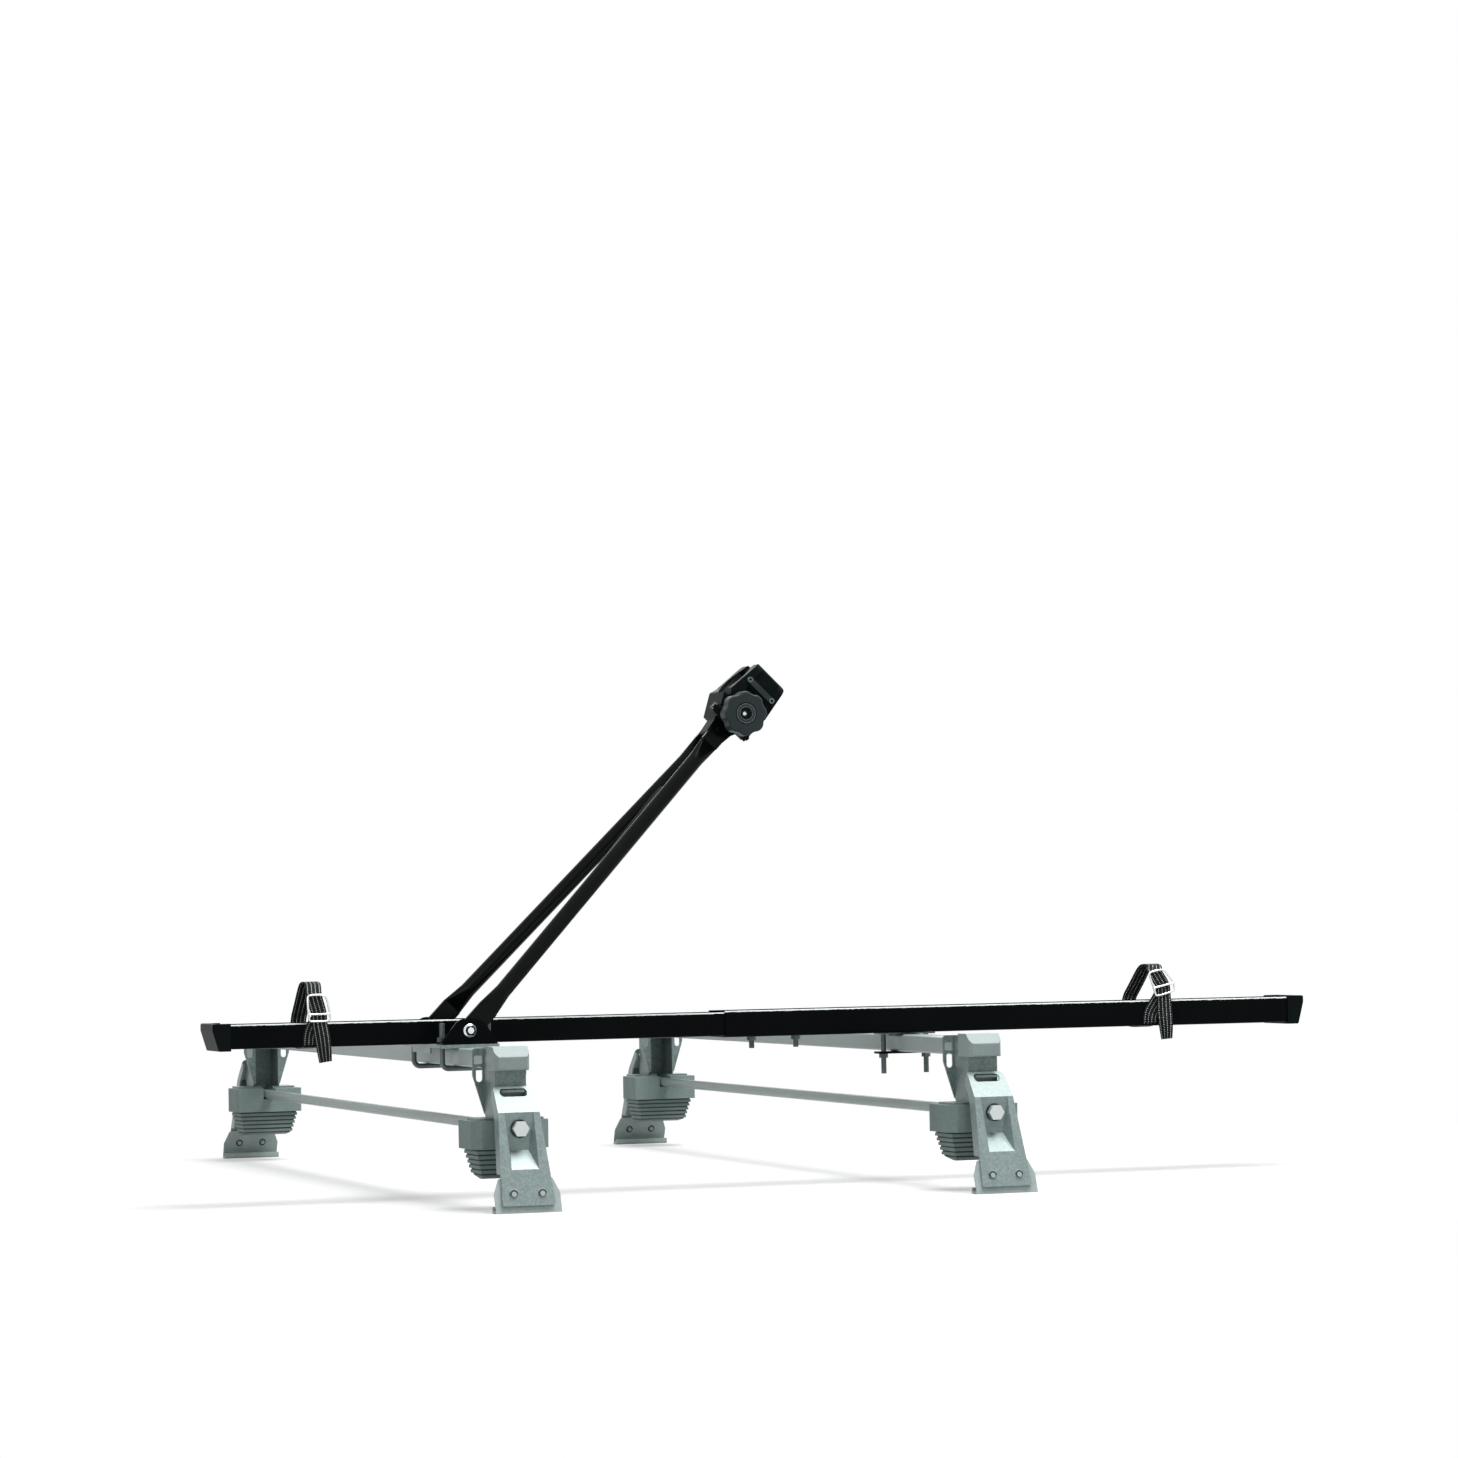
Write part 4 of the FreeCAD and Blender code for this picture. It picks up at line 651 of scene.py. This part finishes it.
def sweep_webbing(name, start, points, width, thickness):
    """A closed solid along the points, with UV u along and v across, both in metres."""
    section = flat_section(width, thickness)
    mesh = bpy.data.meshes.new(name)
    build = bmesh.new()
    uv = build.loops.layers.uv.new("along")
    rings, runs = [], [0.0]
    for i, point in enumerate(points):
        here = Vector(point[:3])
        before = Vector(points[max(i - 1, 0)][:3])
        after = Vector(points[min(i + 1, len(points) - 1)][:3])
        tangent = (after - before).normalized()
        across = Vector((1.0, 0.0, 0.0))
        across = (across - across.dot(tangent) * tangent).normalized()
        across = Matrix.Rotation(point[3], 3, tangent) @ across
        outward = tangent.cross(across)
        if i:
            runs.append(runs[-1] + (here - before).length)
        rings.append([build.verts.new(start + here + across * a + outward * o) for a, o in section])
    count = len(section)
    for i in range(len(rings) - 1):
        for j in range(count):
            k = (j + 1) % count
            face = build.faces.new((rings[i][j], rings[i][k], rings[i + 1][k], rings[i + 1][j]))
            for loop, run, corner in zip(face.loops, (i, i, i + 1, i + 1), (j, k, k, j)):
                loop[uv].uv = (runs[run], section[corner][0])
            face.smooth = True
    build.faces.new(rings[0][::-1])
    build.faces.new(rings[-1])
    bmesh.ops.recalc_face_normals(build, faces=build.faces)
    build.to_mesh(mesh)
    build.free()
    piece = bpy.data.objects.new(name, mesh)
    bpy.context.scene.collection.objects.link(piece)
    print(name, "webbing length in mm:", round(runs[-1] * 1000.0))
    return piece


# %% Webbing finish
weave_rib = 0.0021
weave_cord = 0.0012
lane_place = 0.0045
lane_half = 0.0023
line_half = 0.00042
line_pale = (0.72, 0.77, 0.76)


def webbing_finish():
    """Black cross-ribbed webbing with four pale lines woven in, read from the strap's own UV map."""
    material = bpy.data.materials.new("black_ribbed_webbing")
    material.use_nodes = True
    tree = material.node_tree
    shader = tree.nodes["Principled BSDF"]
    map_node = tree.nodes.new("ShaderNodeUVMap")
    map_node.uv_map = "along"
    split = tree.nodes.new("ShaderNodeSeparateXYZ")
    tree.links.new(map_node.outputs["UV"], split.inputs["Vector"])
    calc = calculator(tree)
    ribs = calc("SINE", calc("MULTIPLY", split.outputs["X"], 2.0 * math.pi / weave_rib))
    cords = calc("SINE", calc("MULTIPLY", split.outputs["Y"], 2.0 * math.pi / weave_cord))
    height = calc("ADD", calc("MULTIPLY", ribs, 0.8), calc("MULTIPLY", cords, 0.25))
    bump = tree.nodes.new("ShaderNodeBump")
    bump.inputs["Strength"].default_value = 0.7
    bump.inputs["Distance"].default_value = 0.0004
    tree.links.new(height, bump.inputs["Height"])
    tree.links.new(bump.outputs["Normal"], shader.inputs["Normal"])
    lane = calc("ABSOLUTE", calc("SUBTRACT", calc("ABSOLUTE", split.outputs["Y"]), lane_place))
    line = calc("LESS_THAN", calc("ABSOLUTE", calc("SUBTRACT", lane, lane_half)), line_half)
    raised = calc("GREATER_THAN", ribs, 0.0)
    stains = tree.nodes.new("ShaderNodeGroup")
    stains.node_tree = wear
    stains.inputs["Stain size per metre"].default_value = 60.0
    dark = tree.nodes.new("ShaderNodeMix")
    dark.data_type = "RGBA"
    dark.inputs[6].default_value = (0.003, 0.004, 0.004, 1.0)
    dark.inputs[7].default_value = (0.014, 0.018, 0.018, 1.0)
    tree.links.new(stretch(tree, calc("MULTIPLY", calc("ADD", ribs, 1.0), stains.outputs[0]), 0.0, 0.8),
                   dark.inputs[0])
    tree.links.new(dark.outputs[2], shader.inputs["Base Color"])
    lay_over(tree, calc("MULTIPLY", line, raised), line_pale)
    shader.inputs["Roughness"].default_value = 0.75
    shader.inputs["Specular IOR Level"].default_value = 0.15
    return material


webbing = webbing_finish()
strap_facts = (
    {"end": "front", "x": -0.557, "floor_z": 0.176, "top_z": 0.2485,
     "wire_z": 0.2345, "bar_z": 0.2130, "tip_z": 0.1595, "x_under": -0.006, "x_top": 0.0015,
     "x_wire": -0.002, "x_bar": 0.0036, "x_tip": 0.0086, "twist": 0.95},
    {"end": "rear", "x": 0.481, "floor_z": 0.17435, "top_z": 0.2475,
     "wire_z": 0.2400, "bar_z": 0.2215, "tip_z": 0.1585, "x_under": -0.011, "x_top": 0.006,
     "x_wire": -0.0045, "x_bar": 0.0066, "x_tip": 0.006, "twist": 1.22},
)
for facts in strap_facts:
    strap = facts["end"] + "_strap"
    piece = sweep_webbing(strap + "_webbing", Vector((facts["x"], tray_y, 0.0)),
                          strap_route(facts), strap_width, strap_thickness)
    piece.data.materials.append(webbing)
    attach(piece, "rack")
    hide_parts(strap)

# %% [markdown]
# ## Rolled threads
#
# The U-bolts' legs, the two long bolts under the rear crossbar and the bolts that join the tray's halves
# are threaded rod. A thread is a ridge that climbs round the rod by a fixed lead, so it follows a rule,
# and Geometry Nodes can build it: a Spiral curve gives the climb, and a four-sided profile swept along it
# gives the ridge. One tree serves every size, because the rod's radius, the lead and the length are its
# inputs.

# %% Thread tree
def thread_tree():
    tree = bpy.data.node_groups.new("rolled_thread", "GeometryNodeTree")
    tree.interface.new_socket(name="Places", in_out="INPUT", socket_type="NodeSocketGeometry")
    for label, kind, default in (("Radius", "NodeSocketFloat", 0.003), ("Lead", "NodeSocketFloat", 0.001),
                                 ("Length", "NodeSocketFloat", 0.02), ("Ridge", "NodeSocketFloat", 0.0003)):
        socket = tree.interface.new_socket(name=label, in_out="INPUT", socket_type=kind)
        socket.default_value = default
    tree.interface.new_socket(name="Finish", in_out="INPUT", socket_type="NodeSocketMaterial")
    tree.interface.new_socket(name="Geometry", in_out="OUTPUT", socket_type="NodeSocketGeometry")
    ins = tree.nodes.new("NodeGroupInput")
    outs = tree.nodes.new("NodeGroupOutput")
    turns = tree.nodes.new("ShaderNodeMath")
    turns.operation = "DIVIDE"
    spiral = tree.nodes.new("GeometryNodeCurveSpiral")
    spiral.inputs["Resolution"].default_value = 14
    profile = tree.nodes.new("GeometryNodeCurvePrimitiveCircle")
    profile.inputs["Resolution"].default_value = 4
    sweep = tree.nodes.new("GeometryNodeCurveToMesh")
    sweep.inputs["Fill Caps"].default_value = True
    place = tree.nodes.new("GeometryNodeInstanceOnPoints")
    real = tree.nodes.new("GeometryNodeRealizeInstances")
    finish = tree.nodes.new("GeometryNodeSetMaterial")
    link = tree.links.new
    link(ins.outputs["Length"], turns.inputs[0])
    link(ins.outputs["Lead"], turns.inputs[1])
    link(turns.outputs[0], spiral.inputs["Rotations"])
    link(ins.outputs["Radius"], spiral.inputs["Start Radius"])
    link(ins.outputs["Radius"], spiral.inputs["End Radius"])
    link(ins.outputs["Length"], spiral.inputs["Height"])
    link(ins.outputs["Ridge"], profile.inputs["Radius"])
    link(spiral.outputs["Curve"], sweep.inputs["Curve"])
    link(profile.outputs["Curve"], sweep.inputs["Profile Curve"])
    link(ins.outputs["Places"], place.inputs["Points"])
    link(sweep.outputs["Mesh"], place.inputs["Instance"])
    link(place.outputs["Instances"], real.inputs["Geometry"])
    link(real.outputs["Geometry"], finish.inputs["Geometry"])
    link(ins.outputs["Finish"], finish.inputs["Material"])
    link(finish.outputs["Geometry"], outs.inputs["Geometry"])
    return tree


# %% Turn a node tree into a plain mesh
def grow(name, tree, points, settings):
    """Run a tree on loose points and keep the result as a mesh object at the origin."""
    seed = bpy.data.meshes.new(name + "_points")
    seed.from_pydata(points, [], [])
    source = bpy.data.objects.new(name + "_points", seed)
    bpy.context.scene.collection.objects.link(source)
    modifier = source.modifiers.new("grow", "NODES")
    modifier.node_group = tree
    socket_of = {item.name: item.identifier for item in tree.interface.items_tree
                 if item.item_type == "SOCKET" and item.in_out == "INPUT"}
    for label, value in settings.items():
        modifier[socket_of[label]] = value
    bpy.context.view_layer.update()
    result = source.evaluated_get(bpy.context.evaluated_depsgraph_get())
    mesh = bpy.data.meshes.new_from_object(result)
    bpy.data.objects.remove(source)
    piece = bpy.data.objects.new(name, mesh)
    bpy.context.scene.collection.objects.link(piece)
    print(name, "faces:", len(mesh.polygons))
    return piece


# %% Threads of the U-bolts and long bolts
leg_reach = 0.027
u_reach = 0.060
joint_reach = 0.0275
rod_radius = 0.00292
rod_lead = 0.001
thread_ridge = 0.0004
threads = thread_tree()
thread_sets = (
    ("u_bolt_threads", [(bar_x["front"] + dx, tray_y + dy, 0.1842) for dx in (-leg_reach, leg_reach)
                        for dy in (-u_reach, u_reach)], 0.0148),
    ("long_bolt_threads", [(bar_x["rear"] + dx, tray_y, 0.1268) for dx in (-leg_reach, leg_reach)], 0.0172),
    ("joint_bolt_threads", [(dx, tray_y, 0.1608) for dx in (-joint_reach, joint_reach)], 0.0080),
)
for name, points, length in thread_sets:
    piece = grow(name, threads, points, {"Radius": rod_radius, "Lead": rod_lead, "Length": length,
                                         "Ridge": thread_ridge, "Finish": threaded_steel})
    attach(piece, "rack")
print("thread sets:", len(thread_sets))

# %% [markdown]
# ## Wire buckles
#
# The webbing's free end goes through a small ladder of bright wire: a long closed loop with one bar
# welded across it. Wire is a circle swept along a line, so a curve with a round bevel makes it. The
# corners of the loop are cut a few times, as on the webbing, which turns them into small bends.

# %% Wire helper
def bent_wire(name, lines, radius, finish):
    """Round wires along lists of points; a line given as (points, True) is closed."""
    data = bpy.data.curves.new(name, "CURVE")
    data.dimensions = "3D"
    data.bevel_depth = radius
    data.bevel_resolution = 3
    data.use_fill_caps = True
    for points, closed in lines:
        spline = data.splines.new("POLY")
        spline.points.add(len(points) - 1)
        for spot, point in zip(spline.points, points):
            spot.co = (*point, 1.0)
        spline.use_cyclic_u = closed
        spline.use_smooth = True
    curve = bpy.data.objects.new(name + "_line", data)
    bpy.context.scene.collection.objects.link(curve)
    bpy.context.view_layer.update()
    mesh = bpy.data.meshes.new_from_object(curve.evaluated_get(bpy.context.evaluated_depsgraph_get()))
    bpy.data.objects.remove(curve)
    mesh.materials.clear()
    mesh.materials.append(finish)
    piece = bpy.data.objects.new(name, mesh)
    bpy.context.scene.collection.objects.link(piece)
    return piece


def round_loop(corners, share, rounds):
    """Cut the corners of a closed loop, leaving straight sides."""
    points = [Vector(corner) for corner in corners]
    for _ in range(rounds):
        cut = []
        for i, here in enumerate(points):
            cut.append(here.lerp(points[i - 1], share))
            cut.append(here.lerp(points[(i + 1) % len(points)], share))
        points = cut
        share = 0.25
    return points


# %% Front and rear buckle
buckle_radius = 0.0012
buckle_out = 0.0052
buckle_lean = 0.0016
buckle_facts = (
    {"end": "front", "top": (-0.5562, 0.0107, 0.2345, 0.0), "bar": (-0.5534, 0.0123, 0.2130, 0.0),
     "foot": (-0.5536, 0.0115, 0.2050, 0.0)},
    {"end": "rear", "top": (0.4782, 0.0100, 0.2403, 0.0020), "bar": (0.4876, 0.0133, 0.2225, 0.0030),
     "foot": (0.4890, 0.0120, 0.2125, 0.0030)},
)


def buckle_row(facts, row, lean):
    """Left and right end of a buckle's cross wire; row is x, half width, height and tilt."""
    x, half, z, tilt = facts[row]
    y = tray_y - tray_half[facts["end"]] - buckle_out + lean
    return [Vector((x - half, y, z - tilt)), Vector((x + half, y, z + tilt))]


buckles = []
for facts in buckle_facts:
    top = buckle_row(facts, "top", buckle_lean)
    bar = buckle_row(facts, "bar", 0.0)
    foot = buckle_row(facts, "foot", 0.0)
    loop = [foot[0], foot[1], bar[1], top[1], top[0], bar[0]]
    buckles.append(bent_wire(facts["end"] + "_strap_buckle",
                             [(round_loop(loop, 0.12, 3), True), (bar, False)], buckle_radius, bright_wire))
for piece in buckles:
    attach(piece, "rack")
    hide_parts("strap_buckles")

# %% Finish
def plain(box):
    return [[round(value, 6) for value in corner] for corner in box]


sizes = {"cad": plain(cad_box), "visual": plain(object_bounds())}
print("boxes:", sizes)
